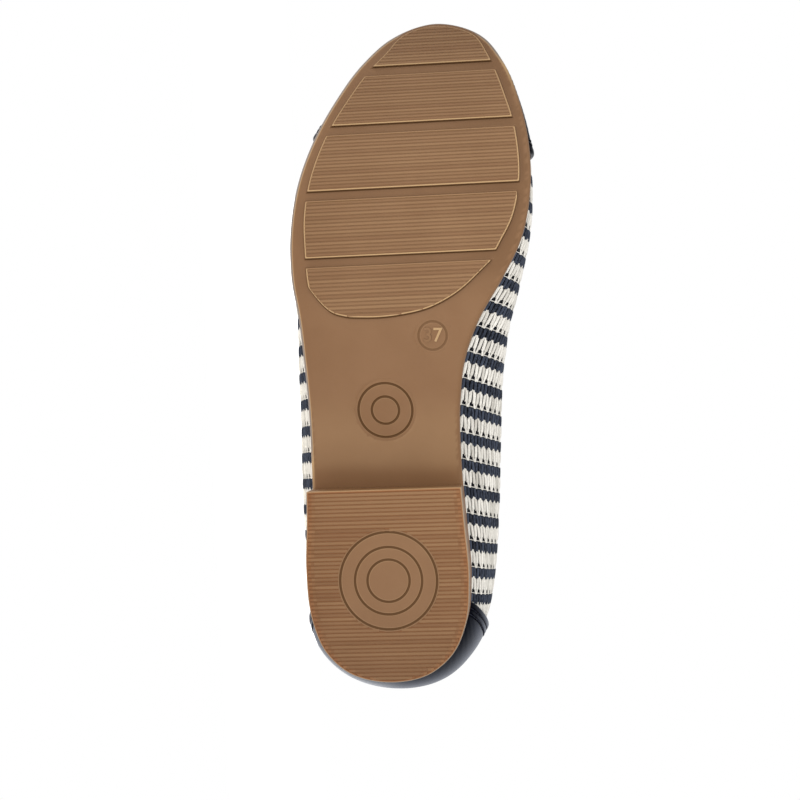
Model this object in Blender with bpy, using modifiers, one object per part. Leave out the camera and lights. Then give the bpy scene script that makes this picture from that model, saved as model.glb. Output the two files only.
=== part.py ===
"""A right ballet pump, size 37, empty and lying on its outer side.

Every piece is modelled as the shoe stands, in the shoe's own frame and in millimetres: X runs from the back
edge of the sole to the toe, Y to the inner side of the foot and Z up from the ground. The empty that carries
the pieces then lays the shoe on its side and turns millimetres into metres.
"""

import math

import bmesh
import bpy
import numpy as np
from mathutils import Euler, Vector

METRES_PER_MM = 0.001
GAP = 0.3  # clear of a neighbour

# ---------------------------------------------------------------- driving sizes, in mm
PAD_HEIGHT = 1.2  # the tread pads stand this far out of the sole
PAD_ROOT = 1.0  # the pads' form runs this far into the sole
GROOVES = (230.15, 207.9, 183.5, 158.4)  # stations of the grooves between the pads, on the centre line
GROOVE_WIDTH = 3.4
GROOVE_SLANT = math.radians(2.3)  # the grooves' outer ends lie nearer the heel
HEEL_BREAST = 72.4  # station of the heel's front face on the centre line
BREAST_SLANT = math.radians(2.0)
WALL = 1.6  # upper: knit and lining together
LEATHER = 1.1  # toe cap and counter
FEATHER_INSET = 1.6  # the upper meets the sole this far inside its edge
LASTING_MARGIN = 9.0  # turned in under the insole
FEATHER_CORNER = 3.6  # the bend from the lasting margin into the wall starts and ends this far off
INSOLE = 2.4
INSOLE_INSET = 5.6  # from the sole's edge, clear of the wall
BINDING_RADIUS = 1.6
TOE_CAP_EDGE = 203.5  # where the cap's rear edge, carried down, meets the ground on the centre line
TOE_CAP_SWING = 0.08  # the edge runs back by this much per mm towards the inner side
TOE_CAP_RAKE = 0.10  # and per mm of height
CAP_REACH = 0.42  # of the way round, to each side of the toe, before the cap is cut
COUNTER_REACH = 0.34  # and the counter, to each side of the heel
OVERLAY_SHARES = (0.18, 0.99)  # overlays run between these shares of the upper's lines
TOPLINE_SWING = 0.09  # the upper's lines reach the topline this much further from the toe and the heel
TOE_BLEND = (150.0, 90.0)  # station where the quarters' form starts to pass into the toe's, and its length
HEEL_EDGE = ((0.8, 0.0), (0.2, 0.5), (0.0, 1.4))  # the heel's lower edge: inset and height
HEEL_TOP_INSET = 0.2
TREAD_DRAFT = 0.4  # the pads' sides lean in by this much

# How the shoe lies: turned about its length onto its outer side, then pitched, until the edge of the sole at
# the ball of the foot, the edge of the heel and the upper's widest place all touch the floor.
LIE_ROLL = math.radians(82.0)
LIE_PITCH = math.radians(-2.92)

# The cutters run well past what they cut: this far to each side, this high, and to these stations.
CLEAR_SIDE = 90.0
CLEAR_HEIGHT = 90.0
CLEAR_TOE = 270.0
CLEAR_HEEL = -20.0

# Grid fineness: lines round the shoe, and points on each line up the wall.
SOLE_LINES = 84
UPPER_LINES = 76
UPPER_POINTS = 17

# ---------------------------------------------------------------- section tables, in mm
# Plan of the sole's edge, and how far it lies to the inner and to the outer side.
SOLE_OUTLINE = (
    # station, inner, outer
    (0.0, 0.0, 0.0),
    (3.8, 15.9, 16.2),
    (11.0, 23.8, 24.1),
    (22.7, 28.7, 29.2),
    (38.0, 29.9, 31.4),
    (60.5, 28.0, 31.4),
    (83.0, 26.1, 31.8),
    (106.0, 26.0, 32.4),
    (121.0, 27.9, 33.4),
    (136.0, 33.3, 34.8),
    (151.0, 41.9, 37.3),
    (166.0, 49.1, 37.9),
    (185.0, 52.5, 35.5),
    (203.0, 51.7, 29.3),
    (219.0, 48.0, 20.8),
    (233.0, 42.4, 11.0),
    (243.0, 34.8, 0.2),
    (248.8, 17.0, -17.0),
)

# Side view of the outsole: the height of its underside, between the pads, and its thickness.
SOLE_PROFILE = (
    # station, underside, thickness
    (0.0, 20.6, 3.2),
    (40.0, 19.6, 3.2),
    (75.0, 17.4, 3.4),
    (95.0, 13.4, 3.8),
    (115.0, 7.6, 4.0),
    (135.0, 2.8, 4.0),
    (151.0, 1.2, 4.0),
    (172.0, 1.2, 4.0),
    (194.0, 1.2, 4.0),
    (213.0, 2.9, 3.8),
    (230.0, 5.8, 3.6),
    (248.0, 10.0, 3.4),
)

# The sole's edge in section: how far it lies inside the outline, and its height as a share of the thickness.
SOLE_SIDE = (
    # inset, share
    (1.3, 0.0),
    (0.4, 0.10),
    (0.0, 0.35),
    (0.0, 0.80),
    (0.5, 1.0),
)

# The pads end this far inside the sole's edge.
PAD_RIM = (
    # station, bare rim at the inner edge, at the outer edge
    (0.0, 6.0, 6.0),
    (150.0, 6.8, 6.0),
    (163.0, 6.7, 5.7),
    (173.0, 5.2, 4.9),
    (184.5, 4.35, 4.35),
    (207.0, 4.1, 3.8),
    (234.0, 3.9, 3.9),
    (241.0, 2.8, 3.4),
    (245.5, 1.3, 1.3),
    (248.8, 1.2, 1.2),
)

# The end of the tread towards the waist.
TREAD_END = (
    # side, station
    (-44.0, 166.0),
    (-33.0, 151.5),
    (-29.1, 145.8),
    (-22.7, 139.1),
    (-17.0, 137.1),
    (-10.8, 136.7),
    (3.2, 137.6),
    (17.0, 141.3),
    (27.6, 147.9),
    (34.8, 154.8),
    (48.0, 168.0),
)

# The upper's widest line: how far it stands out past the sole's edge, and its height above the sole.
UPPER_BULGE = (
    # station, inner, outer, height
    (0.0, 10.6, 10.6, 25.0),
    (10.0, 8.4, 10.2, 25.4),
    (20.0, 8.2, 8.2, 26.0),
    (40.0, 9.8, 7.0, 27.0),
    (60.0, 12.8, 8.4, 28.0),
    (80.0, 15.0, 8.6, 28.0),
    (100.0, 16.0, 7.8, 27.0),
    (115.0, 15.6, 7.0, 25.0),
    (130.0, 14.0, 5.0, 22.0),
    (145.0, 9.6, 2.6, 18.0),
    (162.0, 4.4, 1.4, 15.0),
    (182.0, 1.6, 1.4, 13.0),
    (199.0, 0.0, 1.2, 12.4),
    (208.0, -1.4, 1.0, 12.0),
    (218.0, -2.8, -1.0, 12.0),
    (232.0, -3.0, -1.8, 11.0),
    (248.8, -2.0, -2.0, 10.0),
)

# The topline, in plan and in height above the ground; the last row is the throat.
TOPLINE = (
    # station, inner, outer, height
    (-1.6, 0.0, 0.0, 76.0),
    (3.0, 13.4, 13.6, 75.4),
    (14.0, 24.8, 25.0, 72.4),
    (34.0, 32.0, 32.0, 66.6),
    (58.0, 35.8, 35.0, 60.2),
    (86.0, 37.2, 35.4, 54.8),
    (112.0, 36.6, 32.6, 50.8),
    (134.0, 34.4, 27.4, 48.0),
    (152.0, 30.4, 19.0, 46.2),
    (165.0, 22.4, 7.6, 45.0),
    (172.0, 7.4, -7.4, 44.6),
)

# How the wall passes from the feather edge to its widest line.
FLANK = (
    # share of the bulge, height, share of the widest line's height
    (0.1, FEATHER_CORNER, 0.0),
    (0.6, 0.0, 0.45),
)

# How the wall passes from its widest line to the topline: the share of the way in, and of the way up.
SHOULDERS = (
    # inwards, upwards at the quarters, upwards at the toe
    (0.20, 0.74, 0.62),
    (0.62, 0.90, 0.88),
)

# The counter's front edge, seen from the side.
COUNTER_EDGE = (
    # height, station
    (10.0, 36.0),
    (23.0, 29.0),
    (35.0, 22.6),
    (50.0, 16.0),
    (64.0, 12.2),
    (90.0, 10.0),
)

COUNTER_HEIGHTS = (23.5, 88.0)  # cut from just over the sole to over the topline

# name: colour, roughness
MATERIALS = {
    "tan_rubber": ("906e50", 0.55),
    "navy_cream_knit": ("6f7286", 0.9),
    "navy_leather": ("14192e", 0.3),
    "navy_binding": ("161b33", 0.8),
    "grey_insole": ("b9b2a6", 0.8),
}


# ---------------------------------------------------------------- curves
def curve_through(knots, values, at):
    """A smooth curve through the values at the knots, read at any places between them."""
    knots, values, at = np.asarray(knots, float), np.asarray(values, float), np.asarray(at, float)
    steps = np.diff(knots)
    slopes = np.diff(values) / steps
    middle = (slopes[:-1] * steps[1:] + slopes[1:] * steps[:-1]) / (steps[1:] + steps[:-1])
    tangents = np.concatenate([slopes[:1], middle, slopes[-1:]])
    i = np.clip(np.searchsorted(knots, at) - 1, 0, len(steps) - 1)
    s = np.clip((at - knots[i]) / steps[i], 0.0, 1.0)
    rise = values[i + 1] - values[i]
    start, end = tangents[i] * steps[i] - rise, rise - tangents[i + 1] * steps[i]
    return values[i] + s * rise + s * (1 - s) * (start * (1 - s) + end * s)


def read(rows, column, at):
    """A column of a section table, as a smooth function of the first column."""
    return curve_through([row[0] for row in rows], [row[column] for row in rows], at)


class Loop:
    """A closed outline in plan. A place on it is its way round: 0 at the back, 1 at the front by the inner
    side, and 2 at the back again by the outer side. Ways w and 2 - w are opposite each other."""

    WRAP = 3
    SAMPLES = 3000

    def __init__(self, rows):
        inner = [(row[0], row[1]) for row in rows]
        outer = [(row[0], -row[2]) for row in rows[-2:0:-1]]
        points = np.array(inner + outer)
        points = np.vstack([points[-self.WRAP :], points, points[: self.WRAP + 1]])
        knots = np.concatenate([[0.0], np.cumsum(np.linalg.norm(np.diff(points, axis=0), axis=1))])
        at = np.linspace(knots[self.WRAP], knots[-self.WRAP - 1], self.SAMPLES, endpoint=False)
        curve = np.stack([curve_through(knots, points[:, k], at) for k in (0, 1)], axis=1)
        curve = np.roll(curve, -curve[:, 0].argmin(), axis=0)
        front = curve[:, 0].argmax()
        self.inner = curve[: front + 1]
        self.outer = np.vstack([curve[front:], curve[:1]])[::-1]

    def at(self, way):
        """Points in plan, close together at the round ends and wider apart along the sides."""
        way = np.asarray(way, float)
        back, front = self.inner[0, 0], self.inner[-1, 0]
        station = back + (front - back) * (1 - np.cos(math.pi * way)) / 2
        inner = np.interp(station, self.inner[:, 0], self.inner[:, 1])
        outer = np.interp(station, self.outer[:, 0], self.outer[:, 1])
        return np.stack([station, np.where(np.mod(way, 2.0) <= 1.0, inner, outer)], axis=-1)

    def outward(self, way, step=4e-3):
        run = self.at(way + step) - self.at(way - step)
        run /= np.linalg.norm(run, axis=-1, keepdims=True)
        return np.stack([-run[..., 1], run[..., 0]], axis=-1)

    def inset(self, way, distance):
        return self.at(way) - self.outward(way) * np.reshape(distance, (-1, 1))


def spline_weights(controls, shares):
    """The weight of each control point of an open cubic B-spline, one row for each share of its length."""
    knots = np.concatenate([np.zeros(3), np.linspace(0, 1, controls - 2), np.ones(3)])
    t = np.clip(np.asarray(shares, float), 0, 1 - 1e-9)[:, None]
    weights = ((t >= knots[:-1]) & (t < knots[1:])).astype(float)
    for degree in (1, 2, 3):
        count = len(knots) - degree - 1
        span = knots[degree:] - knots[:-degree]
        span[span == 0] = 1
        left = (t - knots[:count]) / span[:count] * weights[:, :count]
        right = (knots[degree + 1 :] - t) / span[1:] * weights[:, 1:]
        weights = left + right
    return weights


sole_edge = Loop(SOLE_OUTLINE)
topline = Loop(TOPLINE)


def sole_under(station):
    """The ball of the foot is flat, so that its pads stand level on the ground."""
    return np.maximum(read(SOLE_PROFILE, 1, station), PAD_HEIGHT)


def sole_top(station):
    return sole_under(station) + read(SOLE_PROFILE, 2, station)


def over_sole(station, distance):
    """The height of a level that lies this far off the sole's top, measured square to its slope."""
    slope = sole_top(station + 0.5) - sole_top(station - 0.5)
    return sole_top(station) + distance * np.sqrt(1 + slope**2)


# ---------------------------------------------------------------- the upper's form
UPPER_WAYS = np.linspace(0, 2, UPPER_LINES, endpoint=False)
UPPER_SHARES = np.linspace(0, 1, UPPER_POINTS) ** 0.85


def ways_about(middle, reach):
    """The upper's own lines on both sides of a way, so that an overlay's faces lie along the upper's."""
    ways = np.concatenate([UPPER_WAYS - 2, UPPER_WAYS])
    return ways[np.abs(ways - middle) <= reach]


def upper_controls(ways):
    """Control points of the upper's outer face: for each way round, a line from the inner edge of the lasting
    margin, round the feather edge and past the widest line to the topline."""
    edge, outward = sole_edge.at(ways), sole_edge.outward(ways)
    station = edge[:, 0]
    base = over_sole(station, GAP)
    inner_side = np.mod(ways, 2.0) <= 1.0
    bulge = np.where(inner_side, read(UPPER_BULGE, 1, station), read(UPPER_BULGE, 2, station))
    bulge_height = read(UPPER_BULGE, 3, station)
    across = np.sin(math.pi * ways)
    top = topline.at(ways + TOPLINE_SWING * across * np.abs(across))
    top_height = read(TOPLINE, 3, top[:, 0])
    toe = np.clip((station - TOE_BLEND[0]) / TOE_BLEND[1], 0, 1)
    toe = toe * toe * (3 - 2 * toe)

    def control(plan, height):
        return np.column_stack([plan, height])

    def on_sole(inset):
        plan = edge - outward * inset
        return control(plan, over_sole(plan[:, 0], GAP))

    widest = edge + outward * bulge[:, None]
    lines = [on_sole(FEATHER_INSET + inset) for inset in (LASTING_MARGIN, FEATHER_CORNER, 0.0)]
    for out, height, up in FLANK:
        lines.append(control(edge + outward * (out * bulge)[:, None], base + height + up * bulge_height))
    lines.append(control(widest, base + bulge_height))
    for inwards, quarter_up, toe_up in SHOULDERS:
        up = quarter_up + (toe_up - quarter_up) * toe
        lines.append(control(widest + (top - widest) * inwards, base + (top_height - base) * up))
    lines.append(control(top, top_height))
    return np.array(lines)


def upper_face(ways, shares, lift=0.0):
    """Points on the upper's outer face, lifted off it by the given distance."""
    ways = np.asarray(ways, float)
    controls = upper_controls(ways)
    grid = np.einsum("tc,cwk->wtk", spline_weights(len(controls), shares), controls)
    if lift:
        step = 2e-3
        along = upper_face(ways + step, shares) - upper_face(ways - step, shares)
        up = upper_face(ways, np.minimum(shares + step, 1)) - upper_face(ways, np.maximum(shares - step, 0))
        normals = np.cross(up, along)
        grid = grid + lift * normals / np.linalg.norm(normals, axis=2, keepdims=True)
    return grid


# ---------------------------------------------------------------- meshes
def material(name):
    colour, roughness = MATERIALS[name]
    made = bpy.data.materials.new(name)
    made.use_nodes = True
    shader = made.node_tree.nodes["Principled BSDF"]
    srgb = [int(colour[i : i + 2], 16) / 255 for i in (0, 2, 4)]
    linear = [c / 12.92 if c <= 0.04045 else ((c + 0.055) / 1.055) ** 2.4 for c in srgb]
    shader.inputs["Base Color"].default_value = (*linear, 1)
    shader.inputs["Roughness"].default_value = roughness
    made.diffuse_color = (*linear, 1)
    return made


def mesh_object(name, bm, collection):
    bmesh.ops.recalc_face_normals(bm, faces=bm.faces)
    data = bpy.data.meshes.new(name)
    bm.to_mesh(data)
    bm.free()
    made = bpy.data.objects.new(name, data)
    collection.objects.link(made)
    made.parent = shoe
    return made


def slab(name, rings, collection):
    """A closed solid over the sole's outline. Its rings run from the underside to the top, each with its
    distance inside the outline, for all or for each of its points, and a function that gives its height at a
    station."""
    ways = np.linspace(0, 2, SOLE_LINES, endpoint=False)
    half = SOLE_LINES // 2
    bm = bmesh.new()
    loops = []
    for inset, height in rings:
        plan = sole_edge.inset(ways, inset)
        loops.append([bm.verts.new((x, y, height(x))) for x, y in plan])
    for low, high in zip(loops, loops[1:]):
        for i in range(SOLE_LINES):
            j = (i + 1) % SOLE_LINES
            bm.faces.new((low[i], low[j], high[j], high[i]))
    for loop in (loops[0], loops[-1]):
        bm.faces.new((loop[0], loop[1], loop[-1]))
        bm.faces.new((loop[half - 1], loop[half], loop[half + 1]))
        for i in range(1, half - 1):
            bm.faces.new((loop[i], loop[i + 1], loop[-i - 1], loop[-i]))
    return mesh_object(name, bm, collection)


def shell(name, ways, shares, lift, thickness, collection, closed=False):
    """A wall of even thickness on the upper's form. Positive thickness grows outwards."""
    grid = upper_face(ways, shares, lift)
    bm = bmesh.new()
    lines = [[bm.verts.new(point) for point in line] for line in grid]
    if closed:
        lines.append(lines[0])
    for line, following in zip(lines, lines[1:]):
        for i in range(len(shares) - 1):
            bm.faces.new((line[i], line[i + 1], following[i + 1], following[i]))
    made = mesh_object(name, bm, collection)
    outward = Vector(np.cross(grid[0, -1] - grid[0, -2], grid[1, -1] - grid[0, -1]))
    facing = made.data.polygons[len(shares) - 2].normal.dot(outward)
    solidify = made.modifiers.new("wall", "SOLIDIFY")
    solidify.thickness = abs(thickness)
    solidify.offset = math.copysign(1, thickness * facing)
    solidify.use_even_offset = True
    return made


def prism(name, outline, axis, reach, collection):
    """A cutter: an outline of (station, height) or (station, side) points, drawn out both ways."""
    bm = bmesh.new()
    ends = []
    for far in (-reach, reach):
        corners = [(x, far, v) if axis == "Y" else (x, v, far) for x, v in outline]
        ends.append([bm.verts.new(corner) for corner in corners])
    bm.faces.new(ends[0])
    bm.faces.new(ends[1])
    count = len(outline)
    for i in range(count):
        j = (i + 1) % count
        bm.faces.new((ends[0][i], ends[0][j], ends[1][j], ends[1][i]))
    return mesh_object(name, bm, collection)


def boolean(piece, operation, other):
    modifier = piece.modifiers.new(other.name, "BOOLEAN")
    modifier.operation = operation
    modifier.object = other
    modifier.solver = "EXACT"


# ---------------------------------------------------------------- the pieces
def sole_level(share):
    """The height at this share of the sole's thickness, as a function of the station."""
    return lambda station: sole_under(station) + share * (sole_top(station) - sole_under(station))


def block_cutter(name, size, slant, place):
    """A box turned about the vertical, to cut with."""
    bm = bmesh.new()
    bmesh.ops.create_cube(bm, size=1.0)
    box = mesh_object(name, bm, cutters)
    box.scale = size
    box.rotation_euler.z = -slant
    box.location = place
    return box


def pad_rim(ways):
    """How far inside the sole's edge the pads end, at these ways round."""
    station = sole_edge.at(ways)[:, 0]
    return np.where(np.mod(ways, 2.0) <= 1.0, read(PAD_RIM, 1, station), read(PAD_RIM, 2, station))


def outsole():
    rim = pad_rim(np.linspace(0, 2, SOLE_LINES, endpoint=False))
    sole = slab("outsole", [(inset, sole_level(share)) for inset, share in SOLE_SIDE], parts)
    tread = slab(
        "tread_form",
        (
            (rim + TREAD_DRAFT, lambda x: sole_under(x) - PAD_HEIGHT),
            (rim, lambda x: sole_under(x) + PAD_ROOT),
        ),
        cutters,
    )
    groove_size = (GROOVE_WIDTH, 2 * CLEAR_SIDE, CLEAR_HEIGHT)
    for number, station in enumerate(GROOVES, 1):
        groove = block_cutter(f"groove_{number}", groove_size, GROOVE_SLANT, (station, 0, 0))
        boolean(tread, "DIFFERENCE", groove)
    sides = np.linspace(TREAD_END[0][0], TREAD_END[-1][0], 40)
    end = list(zip(read(TREAD_END, 1, sides), sides))
    bare = [(CLEAR_HEEL, sides[0]), *end, (CLEAR_HEEL, sides[-1])]
    boolean(tread, "DIFFERENCE", prism("waist_form", bare, "Z", CLEAR_HEIGHT, cutters))
    boolean(sole, "UNION", tread)
    return sole


def heel():
    """A block under the seat, cut off square at its breast."""
    rings = [(inset, lambda x, height=height: height) for inset, height in HEEL_EDGE]
    rings.append((HEEL_TOP_INSET, lambda x: max(sole_under(x) - GAP, HEEL_EDGE[-1][1] + GAP)))
    block = slab("heel", rings, parts)
    reach = CLEAR_TOE
    ahead = Vector((math.cos(BREAST_SLANT), -math.sin(BREAST_SLANT), 0))
    place = Vector((HEEL_BREAST, 0, 0)) + reach / 2 * ahead
    front = block_cutter("breast_form", (reach, 2 * CLEAR_SIDE, CLEAR_HEIGHT), BREAST_SLANT, place)
    boolean(block, "DIFFERENCE", front)
    return block


def insole():
    under = WALL + 2 * GAP
    corner = 0.3 * INSOLE
    rings = (
        (INSOLE_INSET, lambda x: over_sole(x, under)),
        (INSOLE_INSET, lambda x: over_sole(x, under + INSOLE - corner)),
        (INSOLE_INSET + corner, lambda x: over_sole(x, under + INSOLE)),
    )
    return slab("insole", rings, parts)


def upper():
    return shell("upper", UPPER_WAYS, UPPER_SHARES, 0.0, -WALL, parts, closed=True)


def above_sole(stations):
    """The lower edge of an overlay, seen from the side: just clear of the sole."""
    return [(x, float(sole_top(x)) + GAP) for x in stations]


def overlay(name, middle, reach, shares, outline):
    """Leather on the upper's form, cut to an outline that is drawn as seen from the side."""
    piece = shell(name, ways_about(middle, reach), shares, GAP, LEATHER, parts)
    form = prism(f"{name}_form", outline, "Y", CLEAR_SIDE, cutters)
    boolean(piece, "INTERSECT", form)
    return piece, form


def toe_cap():
    low, high = OVERLAY_SHARES
    shares = UPPER_SHARES[(UPPER_SHARES > low) & (UPPER_SHARES < high)]
    outline = above_sole(np.linspace(TOE_CAP_EDGE, CLEAR_TOE, 20))
    outline += [(CLEAR_TOE, CLEAR_HEIGHT), (TOE_CAP_EDGE - TOE_CAP_RAKE * CLEAR_HEIGHT, CLEAR_HEIGHT)]
    cap, form = overlay("toe_cap", 1.0, CAP_REACH, shares, outline)
    for vertex in form.data.vertices:
        vertex.co.x -= TOE_CAP_SWING * vertex.co.y
    return cap


def heel_counter():
    shares = UPPER_SHARES[UPPER_SHARES > OVERLAY_SHARES[0]]
    heights = np.linspace(*COUNTER_HEIGHTS, 12)
    edge = list(zip(read(COUNTER_EDGE, 1, heights), heights))
    outline = above_sole(np.linspace(CLEAR_HEEL, edge[0][0], 8)[:-1])
    outline += edge + [(CLEAR_HEEL, COUNTER_HEIGHTS[1])]
    return overlay("heel_counter", 0.0, COUNTER_REACH, shares, outline)[0]


def binding():
    """A rolled edge that closes the wall's rim all the way round the topline."""
    outer, inner = (upper_face(UPPER_WAYS, np.array([1.0]), lift)[:, 0] for lift in (0.0, -WALL))
    up = np.cross(outer - inner, np.roll(outer, -1, axis=0) - np.roll(outer, 1, axis=0))
    up *= np.sign(up[:, 2:])
    path = (outer + inner) / 2 + up / np.linalg.norm(up, axis=1, keepdims=True) * (BINDING_RADIUS + GAP)
    curve = bpy.data.curves.new("topline_binding", "CURVE")
    curve.dimensions = "3D"
    curve.bevel_depth = BINDING_RADIUS
    curve.bevel_resolution = 2
    spline = curve.splines.new("POLY")
    spline.points.add(len(path) - 1)
    for point, place in zip(spline.points, path):
        point.co = (*place, 1)
    spline.use_cyclic_u = True
    made = bpy.data.objects.new("topline_binding", curve)
    parts.objects.link(made)
    made.parent = shoe
    return made


# ---------------------------------------------------------------- the shoe
for leftover in list(bpy.data.objects):
    bpy.data.objects.remove(leftover, do_unlink=True)

parts = bpy.data.collections.new("ballet_pump")
cutters = bpy.data.collections.new("cutters")
for group in (parts, cutters):
    bpy.context.scene.collection.children.link(group)
shoe = bpy.data.objects.new("shoe", None)
parts.objects.link(shoe)

for build, finish in (
    (outsole, "tan_rubber"),
    (heel, "tan_rubber"),
    (insole, "grey_insole"),
    (upper, "navy_cream_knit"),
    (toe_cap, "navy_leather"),
    (heel_counter, "navy_leather"),
    (binding, "navy_binding"),
):
    piece = build()
    piece.data.materials.append(material(finish))
for cutter in cutters.objects:
    cutter.display_type = "WIRE"
    cutter.hide_render = True

# Lay the shoe down, and bring the middle of its footprint to the origin.
shoe.rotation_euler = Euler((LIE_ROLL, LIE_PITCH, math.pi))
shoe.scale = (METRES_PER_MM,) * 3
bpy.context.view_layer.update()
seen = bpy.context.evaluated_depsgraph_get()
places = []
for piece in parts.objects:
    if piece is not shoe:
        solid = piece.evaluated_get(seen)
        places += [piece.matrix_world @ vertex.co for vertex in solid.to_mesh().vertices]
        solid.to_mesh_clear()
low, high = np.min(places, axis=0), np.max(places, axis=0)
shoe.location = (-(low[0] + high[0]) / 2, -(low[1] + high[1]) / 2, -low[2])
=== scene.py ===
"""A right ballet pump in striped yarn, with a navy leather toe cap and heel counter and a tan rubber sole.

The shoe lies empty on its outer side and turns its sole to the camera. Every piece is worked out in the
shoe's own frame and in millimetres: X runs from the back edge of the sole to the toe, Y to the inner side of
the foot and Z up from the ground. One function then lays it down among the solids of the frame, in metres.
"""

import math

import bmesh
import bpy
import numpy as np
from mathutils import Euler, Matrix, Vector


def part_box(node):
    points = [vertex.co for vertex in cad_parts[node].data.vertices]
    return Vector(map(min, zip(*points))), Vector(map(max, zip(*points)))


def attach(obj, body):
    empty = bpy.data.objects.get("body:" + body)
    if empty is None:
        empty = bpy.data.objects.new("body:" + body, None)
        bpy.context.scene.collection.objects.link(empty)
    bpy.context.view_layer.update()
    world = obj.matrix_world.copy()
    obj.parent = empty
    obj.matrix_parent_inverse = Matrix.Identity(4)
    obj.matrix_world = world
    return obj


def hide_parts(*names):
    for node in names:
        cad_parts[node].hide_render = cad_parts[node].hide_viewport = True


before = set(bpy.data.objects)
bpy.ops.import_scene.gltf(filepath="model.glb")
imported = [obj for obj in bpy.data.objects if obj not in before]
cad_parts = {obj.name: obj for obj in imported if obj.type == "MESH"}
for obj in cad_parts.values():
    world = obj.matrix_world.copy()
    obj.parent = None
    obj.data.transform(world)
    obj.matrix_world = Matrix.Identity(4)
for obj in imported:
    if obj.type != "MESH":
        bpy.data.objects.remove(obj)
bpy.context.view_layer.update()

MM = 0.001
SEED = 37

# ---------------------------------------------------------------- the last and the sole, in mm
GAP = 0.3  # clear of a neighbour
PAD_HEIGHT = 1.2  # the tread pads stand this far out of the sole
GROOVES = (230.15, 207.9, 183.5, 158.4)  # stations of the grooves between the pads
GROOVE_WIDTH = 3.4
GROOVE_SLANT = math.radians(2.3)  # the grooves' outer ends lie nearer the heel
HEEL_BREAST = 72.4  # station of the heel's front face
BREAST_SLANT = math.radians(2.0)
WALL = 1.6  # yarn, backing and lining together
LEATHER = 1.1
FEATHER_INSET = 1.6  # the upper meets the sole this far inside its edge
LASTING_MARGIN = 9.0
FEATHER_CORNER = 3.6
INSOLE = 2.4
INSOLE_INSET = 5.6
BINDING_RADIUS = 1.6
TOE_CAP_EDGE = 203.5  # where the cap's rear edge, carried down, meets the ground on the centre line
TOE_CAP_SWING = 0.08  # the edge runs back by this much per mm towards the inner side
TOE_CAP_RAKE = 0.10  # and per mm of height
TOPLINE_SWING = 0.09  # at the sides, the upper's lines end this much of a way nearer the front
TOE_BLEND = (150.0, 240.0)  # the shoulders turn from the quarters' form to the toe's between these stations
FEATHER_SHARE = 0.17  # of the upper's lines, below which they lie on the sole
CAD_COLUMNS, CAD_ROWS = 76, 17  # points round the upper's solid and up it
ROW_CROWDING = 0.85  # its rows lie closer together towards the topline
BEYOND = 1e3  # further than either end of the sole
LYING = Euler((math.radians(82.0), math.radians(-2.92), math.pi))  # on its outer side

SOLE_OUTLINE = (
    # station, inner, outer
    (0.0, 0.0, 0.0),
    (3.8, 15.9, 16.2),
    (11.0, 23.8, 24.1),
    (22.7, 28.7, 29.2),
    (38.0, 29.9, 31.4),
    (60.5, 28.0, 31.4),
    (83.0, 26.1, 31.8),
    (106.0, 26.0, 32.4),
    (121.0, 27.9, 33.4),
    (136.0, 33.3, 34.8),
    (151.0, 41.9, 37.3),
    (166.0, 49.1, 37.9),
    (185.0, 52.5, 35.5),
    (203.0, 51.7, 29.3),
    (219.0, 48.0, 20.8),
    (233.0, 42.4, 11.0),
    (243.0, 34.8, 0.2),
    (248.8, 17.0, -17.0),
)
SOLE_PROFILE = (
    # station, underside, thickness
    (0.0, 20.6, 3.2),
    (40.0, 19.6, 3.2),
    (75.0, 17.4, 3.4),
    (95.0, 13.4, 3.8),
    (115.0, 7.6, 4.0),
    (135.0, 2.8, 4.0),
    (151.0, 1.2, 4.0),
    (172.0, 1.2, 4.0),
    (194.0, 1.2, 4.0),
    (213.0, 2.9, 3.8),
    (230.0, 5.8, 3.6),
    (248.0, 10.0, 3.4),
)
SOLE_SIDE = (
    # inset, share of the thickness
    (1.3, 0.0),
    (0.8, 0.03),
    (0.4, 0.10),
    (0.12, 0.22),
    (0.0, 0.35),
    (0.0, 0.80),
    (0.12, 0.92),
    (0.5, 1.0),
)
PAD_RIM = (
    # station, bare rim at the inner edge, at the outer edge
    (0.0, 6.0, 6.0),
    (150.0, 6.8, 6.0),
    (163.0, 6.7, 5.7),
    (173.0, 5.2, 4.9),
    (184.5, 4.35, 4.35),
    (207.0, 4.1, 3.8),
    (234.0, 3.9, 3.9),
    (241.0, 2.8, 3.4),
    (245.5, 1.3, 1.3),
    (248.8, 1.2, 1.2),
)
TREAD_END = (
    # side, station
    (-44.0, 166.0),
    (-33.0, 151.5),
    (-29.1, 145.8),
    (-22.7, 139.1),
    (-17.0, 137.1),
    (-10.8, 136.7),
    (3.2, 137.6),
    (17.0, 141.3),
    (27.6, 147.9),
    (34.8, 154.8),
    (48.0, 168.0),
)
UPPER_BULGE = (
    # station, inner, outer, height
    (0.0, 10.6, 10.6, 25.0),
    (10.0, 8.4, 10.2, 25.4),
    (20.0, 8.2, 8.2, 26.0),
    (40.0, 9.8, 7.0, 27.0),
    (60.0, 12.8, 8.4, 28.0),
    (80.0, 15.0, 8.6, 28.0),
    (100.0, 16.0, 7.8, 27.0),
    (115.0, 15.6, 7.0, 25.0),
    (130.0, 14.0, 5.0, 22.0),
    (145.0, 9.6, 2.6, 18.0),
    (162.0, 4.4, 1.4, 15.0),
    (182.0, 1.6, 1.4, 13.0),
    (199.0, 0.0, 1.2, 12.4),
    (208.0, -1.4, 1.0, 12.0),
    (218.0, -2.8, -1.0, 12.0),
    (232.0, -3.0, -1.8, 11.0),
    (248.8, -2.0, -2.0, 10.0),
)
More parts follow.
